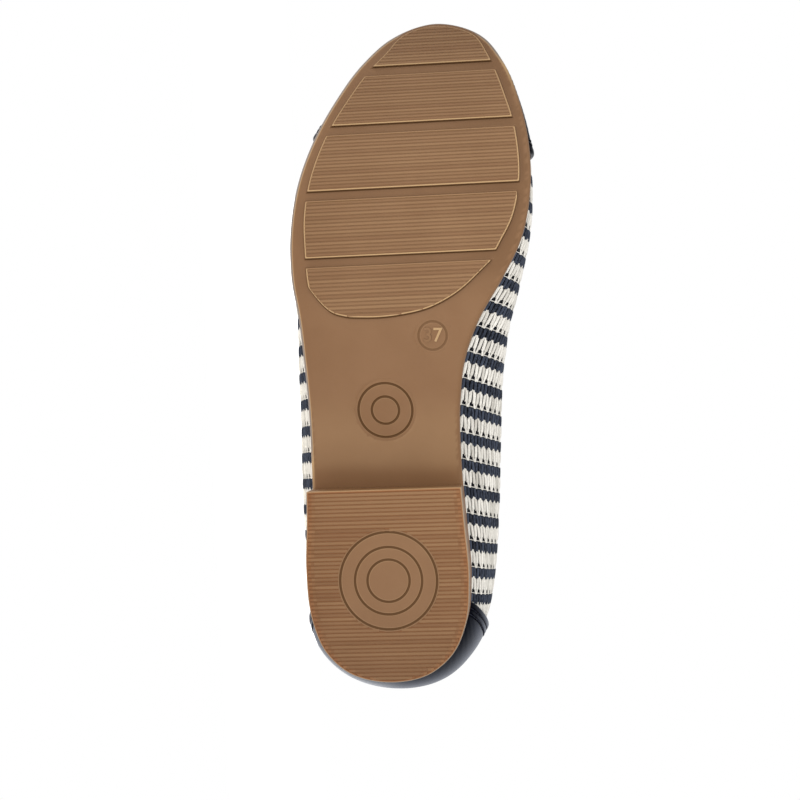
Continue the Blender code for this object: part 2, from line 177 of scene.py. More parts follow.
TOPLINE = (
    # station, inner, outer, height
    (-1.6, 0.0, 0.0, 76.0),
    (3.0, 13.4, 13.6, 75.4),
    (14.0, 24.8, 25.0, 72.4),
    (34.0, 32.0, 32.0, 66.6),
    (58.0, 35.8, 35.0, 60.2),
    (86.0, 37.2, 35.4, 54.8),
    (112.0, 36.6, 32.6, 50.8),
    (134.0, 34.4, 27.4, 48.0),
    (152.0, 30.4, 19.0, 46.2),
    (165.0, 22.4, 7.6, 45.0),
    (172.0, 7.4, -7.4, 44.6),
)
SHOULDERS = (
    # inwards, upwards at the quarters, upwards at the toe
    (0.20, 0.74, 0.62),
    (0.62, 0.90, 0.88),
)
COUNTER_EDGE = (
    # height, station
    (4.0, 44.0),
    (10.0, 36.0),
    (23.0, 29.0),
    (35.0, 22.6),
    (50.0, 16.0),
    (64.0, 12.2),
    (90.0, 10.0),
)

# ---------------------------------------------------------------- yarn, ribs, stitches and folds, in mm
STRIPE = 10.3  # one cream and one navy stripe
CREAM = 6.6  # of it, cream
FIRST_STRIPE = 15.6  # station where a cream stripe starts
STRIPE_SHIFT = 0.1  # nearer the heel than that
STRIPE_OVERLAP = 0.3  # cream and navy run this far into each other, each way
STRIPE_LEAN = (0.05, 0.24)  # a stripe runs back by this much per mm towards the outer and the inner side
STRIPE_RAKE = 0.05  # and per mm of height
STRIPE_BEND = 15.0  # half width of its bend over the middle of the vamp
WALE = 4.3  # one column of the knit, two legs wide
YARN_WIDTH = 1.9
YARN_THICKNESS = 0.85
YARN_LIFT = -0.42  # the yarn's middle, from the upper's outer face
# A stitch's strands. Each runs from a share of the stripe's width, its heel end being 0, at so many mm from
# the middle of the wale, to another; then its thickness as a share of the yarn's.
STRANDS_OF = {
    "cream": (
        # from, out, to, out, thickness
        (0.0, 0.32, 0.42, 1.06, 0.54),
        (0.28, 0.96, 0.86, 1.14, 0.92),
        (0.70, 1.12, 1.0, 1.62, 0.66),
    ),
    "navy": ((0.0, 0.92, 1.0, 1.22, 0.86),),
}
STRAND_STEPS = {"cream": 4, "navy": 5}  # of a strand's curve
CROSS_THREAD = 0.36  # a thin cream thread closes each stitch at its heel end
POINTS_PER_WALE = 4  # on the lines that the stitches are set between
TREAD_PITCHES = (1.45, 1.37, 1.27, 1.19, 1.19)  # of the ribs on each pad, from the waist to the toe
HEEL_PITCH = 1.5
RIB_SHARE = 0.74  # of the pitch, rib
RIB_HEIGHT = 0.24
LEAST_RIB = 1.5  # a shorter piece of a rib is left out
HEEL_RIB_END = 2.4  # the warmer end of a heel rib
HEEL_RIB_WARMTHS = (0.4, 0.18, 0.1)  # at its tip, beside that, and between its ends
# painted shade on the heel's ribs
HEEL_RIB_SHADE = 0.12
RIB_OVERLAP = 0.1
HEEL_BORDER = 0.9
HEEL_TOP_INSET = 0.2
HEEL_DISC = (38.2, -0.4)  # station and side of the plain disc in the heel
HEEL_CIRCLES = (18.2, 12.6, 7.9)
WAIST_DISC = (101.9, -2.6)
WAIST_CIRCLES = (10.3, 5.2)
SIZE_DISC = (130.0, 15.9)
SIZE_CIRCLE = 5.3
CIRCLE_WIDTH = 1.0
# painted shade in each groove and painted highlight on its lips
CIRCLE_PROFILE = (
    # place across a circle, depth, darkness, lightness
    (-0.8, 0.0, 0.0, 0.0),
    (-0.55, 0.0, 0.0, 0.35),
    (-0.4, 0.5, 1.0, 0.0),
    (-0.1, 1.0, 1.0, 0.0),
    (0.15, 1.0, 1.0, 0.0),
    (0.4, 0.5, 1.0, 0.0),
    (0.55, 0.0, 0.0, 0.2),
    (0.8, 0.0, 0.0, 0.0),
)
FLASH_AND_HIGHLIGHT_OUTER = (60.0, 90.0)  # the sole's edge turns lighter grey, as mould flash and painted highlight, between these stations on the outer side
FLASH_AND_HIGHLIGHT_INNER = (215.0, 238.0)  # and on the inner side
WELLS = ((WAIST_DISC, WAIST_CIRCLES[0] + 0.8), (SIZE_DISC, SIZE_CIRCLE + 0.6))  # hollows behind the discs
WELL_DEPTH = 0.9
SEAM_ROWS = (2.7, 5.0)  # stitch rows behind a turned leather edge
SEAM_STITCH = 2.6
SEAM_POINTS = 400  # on the line of a seam
SEAM_THREAD = 0.55
SEAM_TROUGH = 0.42  # half width of the dent that a row pulls
SEAM_DENT = 0.5  # its depth
FACE_LIFT = 1.0  # the leather's face, from its underside
FOLD_LIFT = 0.45  # and over the fold of a turned edge, which thins out between the next distances
FOLD_END = (2.2, 6.0)
EDGE_ROLL = 0.9  # a turned edge is rounded over this distance
# Distances from a turned edge at which the leather has its points, close together as far as the last seam.
EDGE_STEPS = np.concatenate(
    [[0, 0.05, 0.15, 0.3, 0.5, 0.75, 1.0, 1.4, 1.8], np.arange(2.1, 5.9, 0.2), [6.2, 6.8, 7.6]]
)
EDGE_FAR = 20.0  # a distance beyond the reach of the turned edge
PLEATS = 0.2  # depth of the folds where the leather is lasted under
PLEAT_PITCH = 3.4
PLEAT_REACH = 4.5  # they fade out over about this height
SHADE_REACH = 14.0  # painted shade: the leather darkens within about this height of the sole
SHADE = 0.88  # painted shade, by at most this much
COUNTER_REACH = 0.36  # the counter's edges lie within this way of the back
UNDER_LEATHER = 4  # stitches go on this far under the cap and the counter
BINDING_SEAM = 3.4  # below the topline


# ---------------------------------------------------------------- curves
def curve_through(knots, values, at):
    """A smooth curve through the values at the knots, read at any places between them."""
    knots, values, at = np.asarray(knots, float), np.asarray(values, float), np.asarray(at, float)
    steps = np.diff(knots)
    slopes = np.diff(values) / steps
    middle = (slopes[:-1] * steps[1:] + slopes[1:] * steps[:-1]) / (steps[1:] + steps[:-1])
    tangents = np.concatenate([slopes[:1], middle, slopes[-1:]])
    i = np.clip(np.searchsorted(knots, at) - 1, 0, len(steps) - 1)
    s = np.clip((at - knots[i]) / steps[i], 0.0, 1.0)
    rise = values[i + 1] - values[i]
    start, end = tangents[i] * steps[i] - rise, rise - tangents[i + 1] * steps[i]
    return values[i] + s * rise + s * (1 - s) * (start * (1 - s) + end * s)


def read(rows, column, at):
    """A column of a section table, as a smooth function of the first column."""
    return curve_through([row[0] for row in rows], [row[column] for row in rows], at)


def by_inner_side(ways):
    """Whether these ways round lie on the inner side of the shoe."""
    return np.mod(ways, 2.0) <= 1.0


class Loop:
    """A closed outline in plan. A place on it is its way round: 0 at the back, 1 at the front by the inner
    side, and 2 at the back again by the outer side. Ways w and 2 - w are opposite each other."""

    WRAP = 3
    SAMPLES = 3000

    def __init__(self, rows):
        inner = [(row[0], row[1]) for row in rows]
        outer = [(row[0], -row[2]) for row in rows[-2:0:-1]]
        points = np.array(inner + outer)
        points = np.vstack([points[-self.WRAP :], points, points[: self.WRAP + 1]])
        knots = np.concatenate([[0.0], np.cumsum(np.linalg.norm(np.diff(points, axis=0), axis=1))])
        at = np.linspace(knots[self.WRAP], knots[-self.WRAP - 1], self.SAMPLES, endpoint=False)
        curve = np.stack([curve_through(knots, points[:, k], at) for k in (0, 1)], axis=1)
        curve = np.roll(curve, -curve[:, 0].argmin(), axis=0)
        front = curve[:, 0].argmax()
        self.inner = curve[: front + 1]
        self.outer = np.vstack([curve[front:], curve[:1]])[::-1]

    def at(self, way):
        """Points in plan, close together at the round ends and wider apart along the sides."""
        way = np.asarray(way, float)
        back, front = self.inner[0, 0], self.inner[-1, 0]
        station = back + (front - back) * (1 - np.cos(math.pi * way)) / 2
        inner = np.interp(station, self.inner[:, 0], self.inner[:, 1])
        outer = np.interp(station, self.outer[:, 0], self.outer[:, 1])
        return np.stack([station, np.where(by_inner_side(way), inner, outer)], axis=-1)

    def outward(self, way, step=4e-3):
        run = self.at(way + step) - self.at(way - step)
        run /= np.linalg.norm(run, axis=-1, keepdims=True)
        return np.stack([-run[..., 1], run[..., 0]], axis=-1)

    def inset(self, way, distance):
        return self.at(way) - self.outward(way) * np.reshape(distance, (-1, 1))


def spline_weights(controls, shares):
    """The weight of each control point of an open cubic B-spline, one row for each share of its length."""
    knots = np.concatenate([np.zeros(3), np.linspace(0, 1, controls - 2), np.ones(3)])
    t = np.clip(np.asarray(shares, float), 0, 1 - 1e-9)[:, None]
    weights = ((t >= knots[:-1]) & (t < knots[1:])).astype(float)
    for degree in (1, 2, 3):
        count = len(knots) - degree - 1
        span = knots[degree:] - knots[:-degree]
        span[span == 0] = 1
        left = (t - knots[:count]) / span[:count] * weights[:, :count]
        right = (knots[degree + 1 :] - t) / span[1:] * weights[:, 1:]
        weights = left + right
    return weights


def unit(vectors):
    return vectors / np.maximum(np.linalg.norm(vectors, axis=-1, keepdims=True), 1e-12)


def blend_step(value, low, high):
    """0 below low, 1 above high, and smooth between."""
    t = np.clip((np.asarray(value, float) - low) / (high - low), 0, 1)
    return t * t * (3 - 2 * t)


sole_edge = Loop(SOLE_OUTLINE)
topline = Loop(TOPLINE)


def sole_under(station):
    return np.maximum(read(SOLE_PROFILE, 1, station), PAD_HEIGHT)


def sole_top(station):
    return sole_under(station) + read(SOLE_PROFILE, 2, station)


def over_sole(station, distance):
    """The height of a level that lies this far off the sole's top, measured square to its slope."""
    slope = sole_top(station + 0.5) - sole_top(station - 0.5)
    return sole_top(station) + distance * np.sqrt(1 + slope**2)


# ---------------------------------------------------------------- the upper's form
def upper_controls(ways):
    """Control points of the upper's outer face: for each way round, a line from the inner edge of the lasting
    margin, round the feather edge and past the widest line to the topline."""
    edge, outward = sole_edge.at(ways), sole_edge.outward(ways)
    station = edge[:, 0]
    base = over_sole(station, GAP)
    bulge = np.where(by_inner_side(ways), read(UPPER_BULGE, 1, station), read(UPPER_BULGE, 2, station))
    bulge_height = read(UPPER_BULGE, 3, station)
    across = np.sin(math.pi * ways)
    top = topline.at(ways + TOPLINE_SWING * across * np.abs(across))
    top_height = read(TOPLINE, 3, top[:, 0])
    toe = blend_step(station, *TOE_BLEND)

    def control(plan, height):
        return np.column_stack([plan, height])

    def on_sole(inset):
        plan = edge - outward * inset
        return control(plan, over_sole(plan[:, 0], GAP))

    widest = edge + outward * bulge[:, None]
    lines = [
        on_sole(FEATHER_INSET + LASTING_MARGIN),
        on_sole(FEATHER_INSET + FEATHER_CORNER),
        on_sole(FEATHER_INSET),
        control(edge + outward * (0.1 * bulge)[:, None], base + FEATHER_CORNER),
        control(edge + outward * (0.6 * bulge)[:, None], base + 0.45 * bulge_height),
        control(widest, base + bulge_height),
    ]
    for inwards, quarter_up, toe_up in SHOULDERS:
        up = quarter_up + (toe_up - quarter_up) * toe
        lines.append(control(widest + (top - widest) * inwards, base + (top_height - base) * up))
    lines.append(control(top, top_height))
    return np.array(lines)


def on_upper(ways, shares, lift=0.0):
    """Points on the upper at these ways and shares of its lines, lifted off its outer face."""
    ways, shares, lift = np.broadcast_arrays(np.asarray(ways, float), shares, lift)
    shape = ways.shape
    flat_ways, flat_shares = ways.ravel(), np.asarray(shares, float).ravel()

    def face(at_ways, at_shares):
        controls = upper_controls(at_ways)
        return np.einsum("nc,cnk->nk", spline_weights(len(controls), at_shares), controls)

    places = face(flat_ways, flat_shares)
    step = 2e-3
    along = face(flat_ways + step, flat_shares) - face(flat_ways - step, flat_shares)
    up = face(flat_ways, np.minimum(flat_shares + step, 1))
    up = up - face(flat_ways, np.maximum(flat_shares - step, 0))
    places = places + unit(np.cross(up, along)) * np.ravel(lift)[:, None]
    return places.reshape(*shape, 3)


def upper_normals(ways, shares):
    return unit(on_upper(ways, shares, 1.0) - on_upper(ways, shares, 0.0))


TRACE_WAYS = np.linspace(0, 2, 721)
TRACE_SHARES = np.linspace(FEATHER_SHARE, 1.0, 84)
TRACE = on_upper(TRACE_WAYS[None, :], TRACE_SHARES[:, None])


def stripe_station(places):
    """The station that a stripe through these places would have on the ground, in the middle of the shoe."""
    side, height = places[..., 1], places[..., 2]
    outer, inner = STRIPE_LEAN
    lean = (inner + outer) / 2 + (inner - outer) / 2 * np.tanh(side / STRIPE_BEND)
    return places[..., 0] + lean * (np.hypot(side, STRIPE_BEND) - STRIPE_BEND) + STRIPE_RAKE * height


def cap_station(places):
    return places[..., 0] + TOE_CAP_SWING * places[..., 1] + TOE_CAP_RAKE * places[..., 2]


TRACE_STRIPE = stripe_station(TRACE)
TRACE_CAP = cap_station(TRACE)


def crossing(field, level):
    """Where a line of this level crosses the upper: its outer and its inner half, each from the feather edge
    upwards as ways and shares, and whether they meet over the vamp."""
    peaks = field.max(axis=1)
    over = np.flatnonzero(peaks >= level)
    if not len(over):
        return None
    first, last = over[0], over[-1]
    rows = np.arange(first, last + 1.0)
    closing = np.array([0.5, 0.8, 0.95, 0.998])
    meets = last < len(peaks) - 1
    if meets:
        rows = np.append(rows, last + closing * (peaks[last] - level) / (peaks[last] - peaks[last + 1]))
    if first > 0:
        reach = closing[::-1] * (peaks[first] - level) / (peaks[first] - peaks[first - 1])
        rows = np.append(first - reach, rows)
    inner, outer = [], []
    for at in rows:
        low = min(int(at), len(field) - 2)
        row = field[low] + (field[low + 1] - field[low]) * (at - low)
        share = np.interp(at, np.arange(len(TRACE_SHARES)), TRACE_SHARES)
        peak = row.argmax()
        inner.append((np.interp(level, row[: peak + 1], TRACE_WAYS[: peak + 1]), share))
        outer.append((np.interp(-level, -row[peak:], TRACE_WAYS[peak:]), share))
    return np.array(outer), np.array(inner), meets


def across(field, level):
    """The same line in one piece, from the outer feather edge to the inner one. Behind the throat it follows
    the topline from side to side."""
    outer, inner, meets = crossing(field, level)
    rim = np.zeros((0, 2))
    if not meets:
        rim = np.column_stack([np.linspace(outer[-1, 0], inner[-1, 0], 21)[1:-1], np.ones(19)])
    return np.vstack([outer, rim, inner[::-1]])


def read_line(at, run, line):
    """A line's numbers, read at any lengths of its run."""
    return np.column_stack([np.interp(at, run, column) for column in line.T])


def evenly(line, count):
    """The same line with its points evenly apart on the upper, and its length."""
    places = on_upper(line[:, 0], line[:, 1])
    run = np.concatenate([[0.0], np.cumsum(np.linalg.norm(np.diff(places, axis=0), axis=1))])
    at = np.linspace(0, run[-1], count)
    return read_line(at, run, line), run[-1]


# ---------------------------------------------------------------- laying down, and meshes
def turned(places):
    return np.asarray(places, float) @ np.array(LYING.to_matrix()).T


def crowded(rows):
    """Shares of the upper's lines for so many rows."""
    return np.linspace(0, 1, rows) ** ROW_CROWDING


# The upper's solid has its points at these places, so its lowest corner says where the shoe lies.
cad_face = on_upper(np.linspace(0, 2, CAD_COLUMNS, endpoint=False)[:, None], crowded(CAD_ROWS)[None, :])
ORIGIN = np.array(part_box("upper")[0]) - (turned(cad_face) * MM).reshape(-1, 3).min(axis=0)


def laid(places):
    """From the shoe's own millimetres to the lying shoe, in metres."""
    return turned(places) * MM + ORIGIN


def placed(name, data):
    """A new object in the scene."""
    made = bpy.data.objects.new(name, data)
    bpy.context.scene.collection.objects.link(made)
    return made


class Form:
    """A mesh gathered from grids of points. Each point carries three marks, from 0 to 1, for its finish: how
    far it is darkened, lightened and warmed. On many pieces the darkening is painted shade and the lightening
    painted highlight."""

    def __init__(self):
        self.places, self.marks, self.faces, self.count = [], [], [], 0

    def points(self, places, marks=(0, 0, 0)):
        places = np.asarray(places, float)
        index = np.arange(places[..., 0].size).reshape(places.shape[:-1]) + self.count
        self.count += index.size
        self.places.append(places.reshape(-1, 3))
        self.marks.append(np.broadcast_to(np.asarray(marks, float), places.shape).reshape(-1, 3))
        return index

    def skin(self, index):
        """Faces between neighbouring rows and columns of an index grid."""
        corners = (index[:-1, :-1], index[:-1, 1:], index[1:, 1:], index[1:, :-1])
        self.faces += np.stack(corners, axis=-1).reshape(-1, 4).tolist()

    def grid(self, places, marks=(0, 0, 0), closed=False):
        index = self.points(places, marks)
        self.skin(np.hstack([index, index[:, :1]]) if closed else index)
        return index

    def make(self, name, finish, sharp=40.0):
        data = bpy.data.meshes.new(name)
        data.from_pydata(laid(np.vstack(self.places)).tolist(), [], self.faces)
        layer = data.attributes.new("marks", "FLOAT_VECTOR", "POINT")
        layer.data.foreach_set("vector", np.vstack(self.marks).ravel())
        bm = bmesh.new()
        bm.from_mesh(data)
        bmesh.ops.remove_doubles(bm, verts=bm.verts, dist=2e-6)
        bmesh.ops.dissolve_degenerate(bm, edges=bm.edges, dist=1e-7)
        bmesh.ops.recalc_face_normals(bm, faces=bm.faces)
        bm.to_mesh(data)
        bm.free()
        data.shade_smooth()
        data.set_sharp_from_angle(angle=math.radians(sharp))
        data.materials.append(finish)
        return placed(name, data)


def spots(name, starts, ends, normals, marks, thick=1.0):
    """A mesh of one point for each small piece laid from a start to an end, with its turn and its size."""
    starts, ends, normals = laid(starts), laid(ends), turned(normals)
    along = unit(ends - starts)
    side = unit(np.cross(normals, along))
    up = np.cross(along, side)
    roll = np.arctan2(side[:, 2], up[:, 2])
    pitch = -np.arcsin(np.clip(along[:, 2], -1, 1))
    turns = np.column_stack([roll, pitch, np.arctan2(along[:, 1], along[:, 0])])
    lengths = np.linalg.norm(ends - starts, axis=1)
    sizes = np.stack(np.broadcast_arrays(lengths, thick, thick), axis=1)
    data = bpy.data.meshes.new(name)
    data.from_pydata(((starts + ends) / 2).tolist(), [], [])
    for label, values in (("turn", turns), ("size", sizes), ("marks", np.broadcast_to(marks, sizes.shape))):
        layer = data.attributes.new(label, "FLOAT_VECTOR", "POINT")
        layer.data.foreach_set("vector", np.ravel(values))
    return placed(name, data)


# ---------------------------------------------------------------- nodes
def add(tree, kind, inputs=None, **settings):
    """Adds a node with its settings, and gives its inputs values or links them to sockets."""
    made = tree.nodes.new(kind)
    for name, value in settings.items():
        setattr(made, name, value)
    for key, value in (inputs or {}).items():
        if isinstance(value, bpy.types.NodeSocket):
            tree.links.new(value, made.inputs[key])
        else:
            made.inputs[key].default_value = value
    return made


def lay_tree(name, square):
    """Geometry Nodes that lay one small rod at every point of a mesh: an arched strand with round sides and
    thinner ends, or, where it is square, a straight rib with rounded edges."""
    tree = bpy.data.node_groups.new(name, "GeometryNodeTree")
    face = tree.interface
    kinds = {"Geometry": "Geometry", "Width": "Float", "Thickness": "Float", "Arch": "Float"}
    kinds |= {"Taper": "Float", "Steps": "Int", "Sides": "Int", "Finish": "Material"}
    for label, kind in kinds.items():
        face.new_socket(label, in_out="INPUT", socket_type="NodeSocket" + kind)
    face.new_socket("Geometry", in_out="OUTPUT", socket_type="NodeSocketGeometry")

    def put(kind, inputs=None, **settings):
        return add(tree, kind, inputs, **settings).outputs[0]

    given = tree.nodes.new("NodeGroupInput").outputs
    width, thickness = given["Width"], given["Thickness"]
    top = put("ShaderNodeCombineXYZ", {"Z": given["Arch"]})
    line = {"Resolution": given["Steps"], "Start": (-0.5, 0, 0), "Middle": top, "End": (0.5, 0, 0)}
    line = put("GeometryNodeCurveQuadraticBezier", line)
    factor = add(tree, "GeometryNodeSplineParameter").outputs["Factor"]
    from_middle = put("ShaderNodeMath", {0: factor, 1: 2.0, 2: -1.0}, operation="MULTIPLY_ADD")
    from_middle = put("ShaderNodeMath", {0: from_middle}, operation="ABSOLUTE")
    raised = put("ShaderNodeMath", {0: from_middle, 1: 3.0}, operation="POWER")
    loss = put("ShaderNodeMath", {0: raised, 1: given["Taper"]}, operation="MULTIPLY")
    radius = put("ShaderNodeMath", {0: 1.0, 1: loss}, operation="SUBTRACT")
    line = put("GeometryNodeSetCurveRadius", {"Curve": line, "Radius": radius})
    if square:
        section = put("GeometryNodeCurvePrimitiveQuadrilateral", {"Width": width, "Height": thickness})
        rounding = put("ShaderNodeMath", {0: thickness, 1: 0.45}, operation="MULTIPLY")
        section = {"Curve": section, "Radius": rounding, "Count": given["Sides"], "Limit Radius": True}
        section = put("GeometryNodeFilletCurve", section, mode="POLY")
    else:
        circle = put("GeometryNodeCurvePrimitiveCircle", {"Resolution": given["Sides"], "Radius": 0.5})
        size = put("ShaderNodeCombineXYZ", {"X": width, "Y": thickness, "Z": 1.0})
        section = put("GeometryNodeTransform", {"Geometry": circle, "Scale": size})
    rod = put("GeometryNodeCurveToMesh", {"Curve": line, "Profile Curve": section, "Fill Caps": True})
    rod = put("GeometryNodeSetShadeSmooth", {"Geometry": rod})
    turn, size = (
        put("GeometryNodeInputNamedAttribute", {"Name": label}, data_type="FLOAT_VECTOR")
        for label in ("turn", "size")
    )
    turn = put("FunctionNodeEulerToRotation", {0: turn})
    dots = put("GeometryNodeMeshToPoints", {"Mesh": given["Geometry"]})
    copies = {"Points": dots, "Instance": rod, "Rotation": turn, "Scale": size}
    real = put("GeometryNodeRealizeInstances", {"Geometry": put("GeometryNodeInstanceOnPoints", copies)})
    real = put("GeometryNodeSetMaterial", {"Geometry": real, "Material": given["Finish"]})
    add(tree, "NodeGroupOutput", {"Geometry": real})
    return tree


def lay(piece, tree, **sizes):
    """Runs a tree on a mesh of points, and keeps the result as a plain mesh. Lengths are in millimetres."""
    modifier = piece.modifiers.new("laid", "NODES")
    modifier.node_group = tree
    for item in tree.interface.items_tree:
        if item.in_out == "INPUT" and item.name in sizes:
            value = sizes[item.name]
            modifier[item.identifier] = value * MM if item.name in ("Width", "Thickness", "Arch") else value
    seen = bpy.context.evaluated_depsgraph_get()
    data = bpy.data.meshes.new_from_object(piece.evaluated_get(seen))
    piece.modifiers.remove(modifier)
    data.name = piece.name
    piece.data = data


def linear(colour):
    """sRGB hex to linear RGBA."""
    srgb = [int(colour[i : i + 2], 16) / 255 for i in (0, 2, 4)]
    return (*[c / 12.92 if c <= 0.04045 else ((c + 0.055) / 1.055) ** 2.4 for c in srgb], 1.0)


MATT = 0.2  # specular level of yarn and cloth


def new_finish(name, roughness):
    """A material with its shader, and the coordinates and the three marks that its patterns read."""
    made = bpy.data.materials.new(name)
    made.use_nodes = True
    tree = made.node_tree
    shader = tree.nodes["Principled BSDF"]
    shader.inputs["Roughness"].default_value = roughness
    shader.inputs["IOR"].default_value = 1.5  # of rubber, cotton and the leather's coat
    coords = add(tree, "ShaderNodeTexCoord").outputs["Object"]
    marks = add(tree, "ShaderNodeAttribute", attribute_name="marks").outputs["Vector"]
    marks = add(tree, "ShaderNodeSeparateXYZ", {0: marks}).outputs
    return made, tree, shader, coords, marks


def mixed(tree, amount, first, second):
    """Two colours, each a hex value or a socket, mixed by an amount."""
    first, second = (linear(c) if isinstance(c, str) else c for c in (first, second))
    return add(tree, "ShaderNodeMix", {0: amount, 6: first, 7: second}, data_type="RGBA").outputs[2]


def mottled(tree, vector, scale, detail):
    """A soft noise of this many clouds to a metre, and the same with its contrast raised."""
    noise = add(tree, "ShaderNodeTexNoise", {"Vector": vector, "Scale": scale, "Detail": detail}).outputs[0]
    return noise, add(tree, "ShaderNodeMapRange", {0: noise, 1: 0.35, 2: 0.65}).outputs[0]


def surface(tree, shader, colour, relief, strength, depth):
    """Gives a shader its colour, and its relief so many millimetres deep."""
    bump = {"Height": relief, "Strength": strength, "Distance": depth * MM}
    tree.links.new(colour, shader.inputs["Base Color"])
    tree.links.new(add(tree, "ShaderNodeBump", bump).outputs[0], shader.inputs["Normal"])


def moulded_rubber():
    """Thermoplastic rubber, injection moulded in one tan colour: satin, faintly mottled, and a warmer brown
    just inside the heel's edge. Its marks paint light and shade: a lighter grey on its flashed edges that is
    partly painted highlight, painted shade in its grooves and round its plates, and painted shade towards
    both ends."""
    made, tree, shader, coords, marks = new_finish("moulded_tan_rubber", 0.52)
    cloud = mottled(tree, coords, 55.0, 3.0)[1]  # 18 mm clouds
    fleck = {"Vector": coords, "Scale": 900.0, "Detail": 2.0}  # 1.1 mm
    fleck = add(tree, "ShaderNodeTexNoise", fleck).outputs[0]
    colour = mixed(tree, cloud, "755333", "795737")
    colour = mixed(tree, marks[2], colour, "8f4f1c")
    # painted shade from the first mark; painted highlight, with the flash grey, from the second
    colour = mixed(tree, marks[0], colour, "3f2812")
    colour = mixed(tree, marks[1], colour, "b4946a")
    flash_and_highlight_grey = add(tree, "ShaderNodeMapRange", {0: marks[1], 1: 0.8, 2: 1.0}).outputs[0]
    colour = mixed(tree, flash_and_highlight_grey, colour, "7f7268")
    # painted shade: darker towards both ends of the shoe, where the light falls away
    along = add(tree, "ShaderNodeSeparateXYZ", {0: coords}).outputs[0]  # metres from the middle
    ends = add(tree, "ShaderNodeMapRange", {0: along, 1: -0.125, 2: 0.125, 3: -1.0, 4: 1.0}).outputs[0]
    ends = add(tree, "ShaderNodeMath", {0: ends, 1: 4.0}, operation="POWER").outputs[0]
    ends = add(tree, "ShaderNodeMath", {0: ends, 1: 0.36}, operation="MULTIPLY").outputs[0]
    colour = mixed(tree, ends, colour, "3f2812")
    # where shade is painted, the gloss is taken off too
    gloss = add(tree, "ShaderNodeMapRange", {0: marks[0], 3: 0.35, 4: 0.03}).outputs[0]
    tree.links.new(gloss, shader.inputs["Specular IOR Level"])
    rough = add(tree, "ShaderNodeMapRange", {0: fleck, 3: 0.46, 4: 0.6}).outputs[0]
    tree.links.new(rough, shader.inputs["Roughness"])
    surface(tree, shader, colour, fleck, 0.25, 0.1)
    return made


def yarn(name, deep, middle, bright):
    """Soft cotton yarn: matt, with fine fibres along each leg and a shade that differs between stitches."""
    made, tree, shader, coords, marks = new_finish(name, 0.85)
    shader.inputs["Specular IOR Level"].default_value = MATT
    fibres = add(tree, "ShaderNodeMapping", {"Vector": coords, "Scale": (0.22, 1.0, 1.0)}).outputs[0]
    fibres, shade = mottled(tree, fibres, 3600.0, 2.0)  # 0.28 mm
    colour = mixed(tree, shade, middle, bright)
    colour = mixed(tree, marks[0], colour, deep)
    colour = mixed(tree, marks[1], colour, bright)
    surface(tree, shader, colour, fibres, 0.5, 0.2)
    return made


def nappa(name, deep, middle, roughness, painted_sheen):
    """Soft nappa leather, dyed through and finished with a smooth, half glossy coat: a fine pebbled grain of
    about 0.5 mm and a clear sheen where it turns away from the eye."""
    made, tree, shader, coords, marks = new_finish(name, roughness)
    shader.inputs["Specular Tint"].default_value = (0.7, 0.82, 1.0, 1.0)
    # painted shade also takes off the gloss
    gloss = add(tree, "ShaderNodeMapRange", {0: marks[0], 3: 0.18, 4: 0.0}).outputs[0]
    tree.links.new(gloss, shader.inputs["Specular IOR Level"])
    grain = {"Vector": coords, "Scale": 1900.0}  # 0.5 mm
    grain = add(tree, "ShaderNodeTexVoronoi", grain).outputs["Distance"]
    broad = mottled(tree, coords, 120.0, 3.0)[1]  # 8 mm
    colour = mixed(tree, broad, deep, middle)
    # painted sheen, a lighter blue, from the second mark; painted shade, near black, from the first
    colour = mixed(tree, marks[1], colour, painted_sheen)
    colour = mixed(tree, marks[0], colour, "04050a")
    surface(tree, shader, colour, grain, 0.25, 0.1)
    return made


def cloth(name, first, second, pitch):
    """Plain woven tape, lining or thread: matt, its fibres pitch mm apart, drawn a little coarser than real
    so that they show."""
    made, tree, shader, coords, _ = new_finish(name, 0.9)
    shader.inputs["Specular IOR Level"].default_value = MATT
    slanting = add(tree, "ShaderNodeMapping", {"Vector": coords, "Rotation": (0.4, 0.6, 0.8)}).outputs[0]
    threads, shade = mottled(tree, slanting, 1000.0 / pitch, 1.0)
    surface(tree, shader, mixed(tree, shade, first, second), threads, 0.5, 0.2)
    return made


RUBBER = moulded_rubber()
CREAM_YARN = yarn("cream_cotton_yarn", "8a8478", "d3cfc6", "f0ece4")
NAVY_YARN = yarn("navy_cotton_yarn", "040507", "141823", "434a59")
BACKING = cloth("navy_backing_cloth", "05060b", "0b0e18", 0.5)
LINING = cloth("grey_lining_cloth", "b9b3aa", "c2bdb4", 0.45)
LEATHER_FINISH = nappa("navy_nappa_leather", "0c1120", "151c31", 0.3, "2c3b57")
INSOLE_FINISH = nappa("grey_insole_leather", "ada599", "b3aba0", 0.6, "b3aba0")
THREAD = cloth("navy_sewing_thread", "070914", "14182a", 0.4)
TAPE = cloth("navy_binding_tape", "0b0f1e", "151b2f", 0.6)
STRANDS = lay_tree("lay_strands", square=False)
RIBS = lay_tree("lay_ribs", square=True)


def fit(piece, slot, *nodes):
    """The piece moves with the shoe and stands for these nodes of the frame. Its slot is not used."""
    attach(piece, "root")
    if nodes:
        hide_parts(*nodes)


# ---------------------------------------------------------------- the underside
def slanted(plan, slant):
    """Plan to a frame whose first axis runs square to the ribs and whose second runs along them."""
    c, s = math.cos(slant), math.sin(slant)
    return np.stack([plan[..., 0] * c - plan[..., 1] * s, plan[..., 0] * s + plan[..., 1] * c], axis=-1)


def chains(points):
    """A closed outline split at its lowest and highest first coordinate: its low side and its high side."""
    points = np.roll(points, -points[:, 0].argmin(), axis=0)
    peak = points[:, 0].argmax()
    sides = points[: peak + 1], np.vstack([points[peak:], points[:1]])[::-1]
    return sorted(sides, key=lambda side: side[:, 1].mean())


def pad_rim(ways):
    """How far inside the sole's edge the pads end, at these ways round."""
    station = sole_edge.at(ways)[:, 0]
    return np.where(by_inner_side(ways), read(PAD_RIM, 1, station), read(PAD_RIM, 2, station))


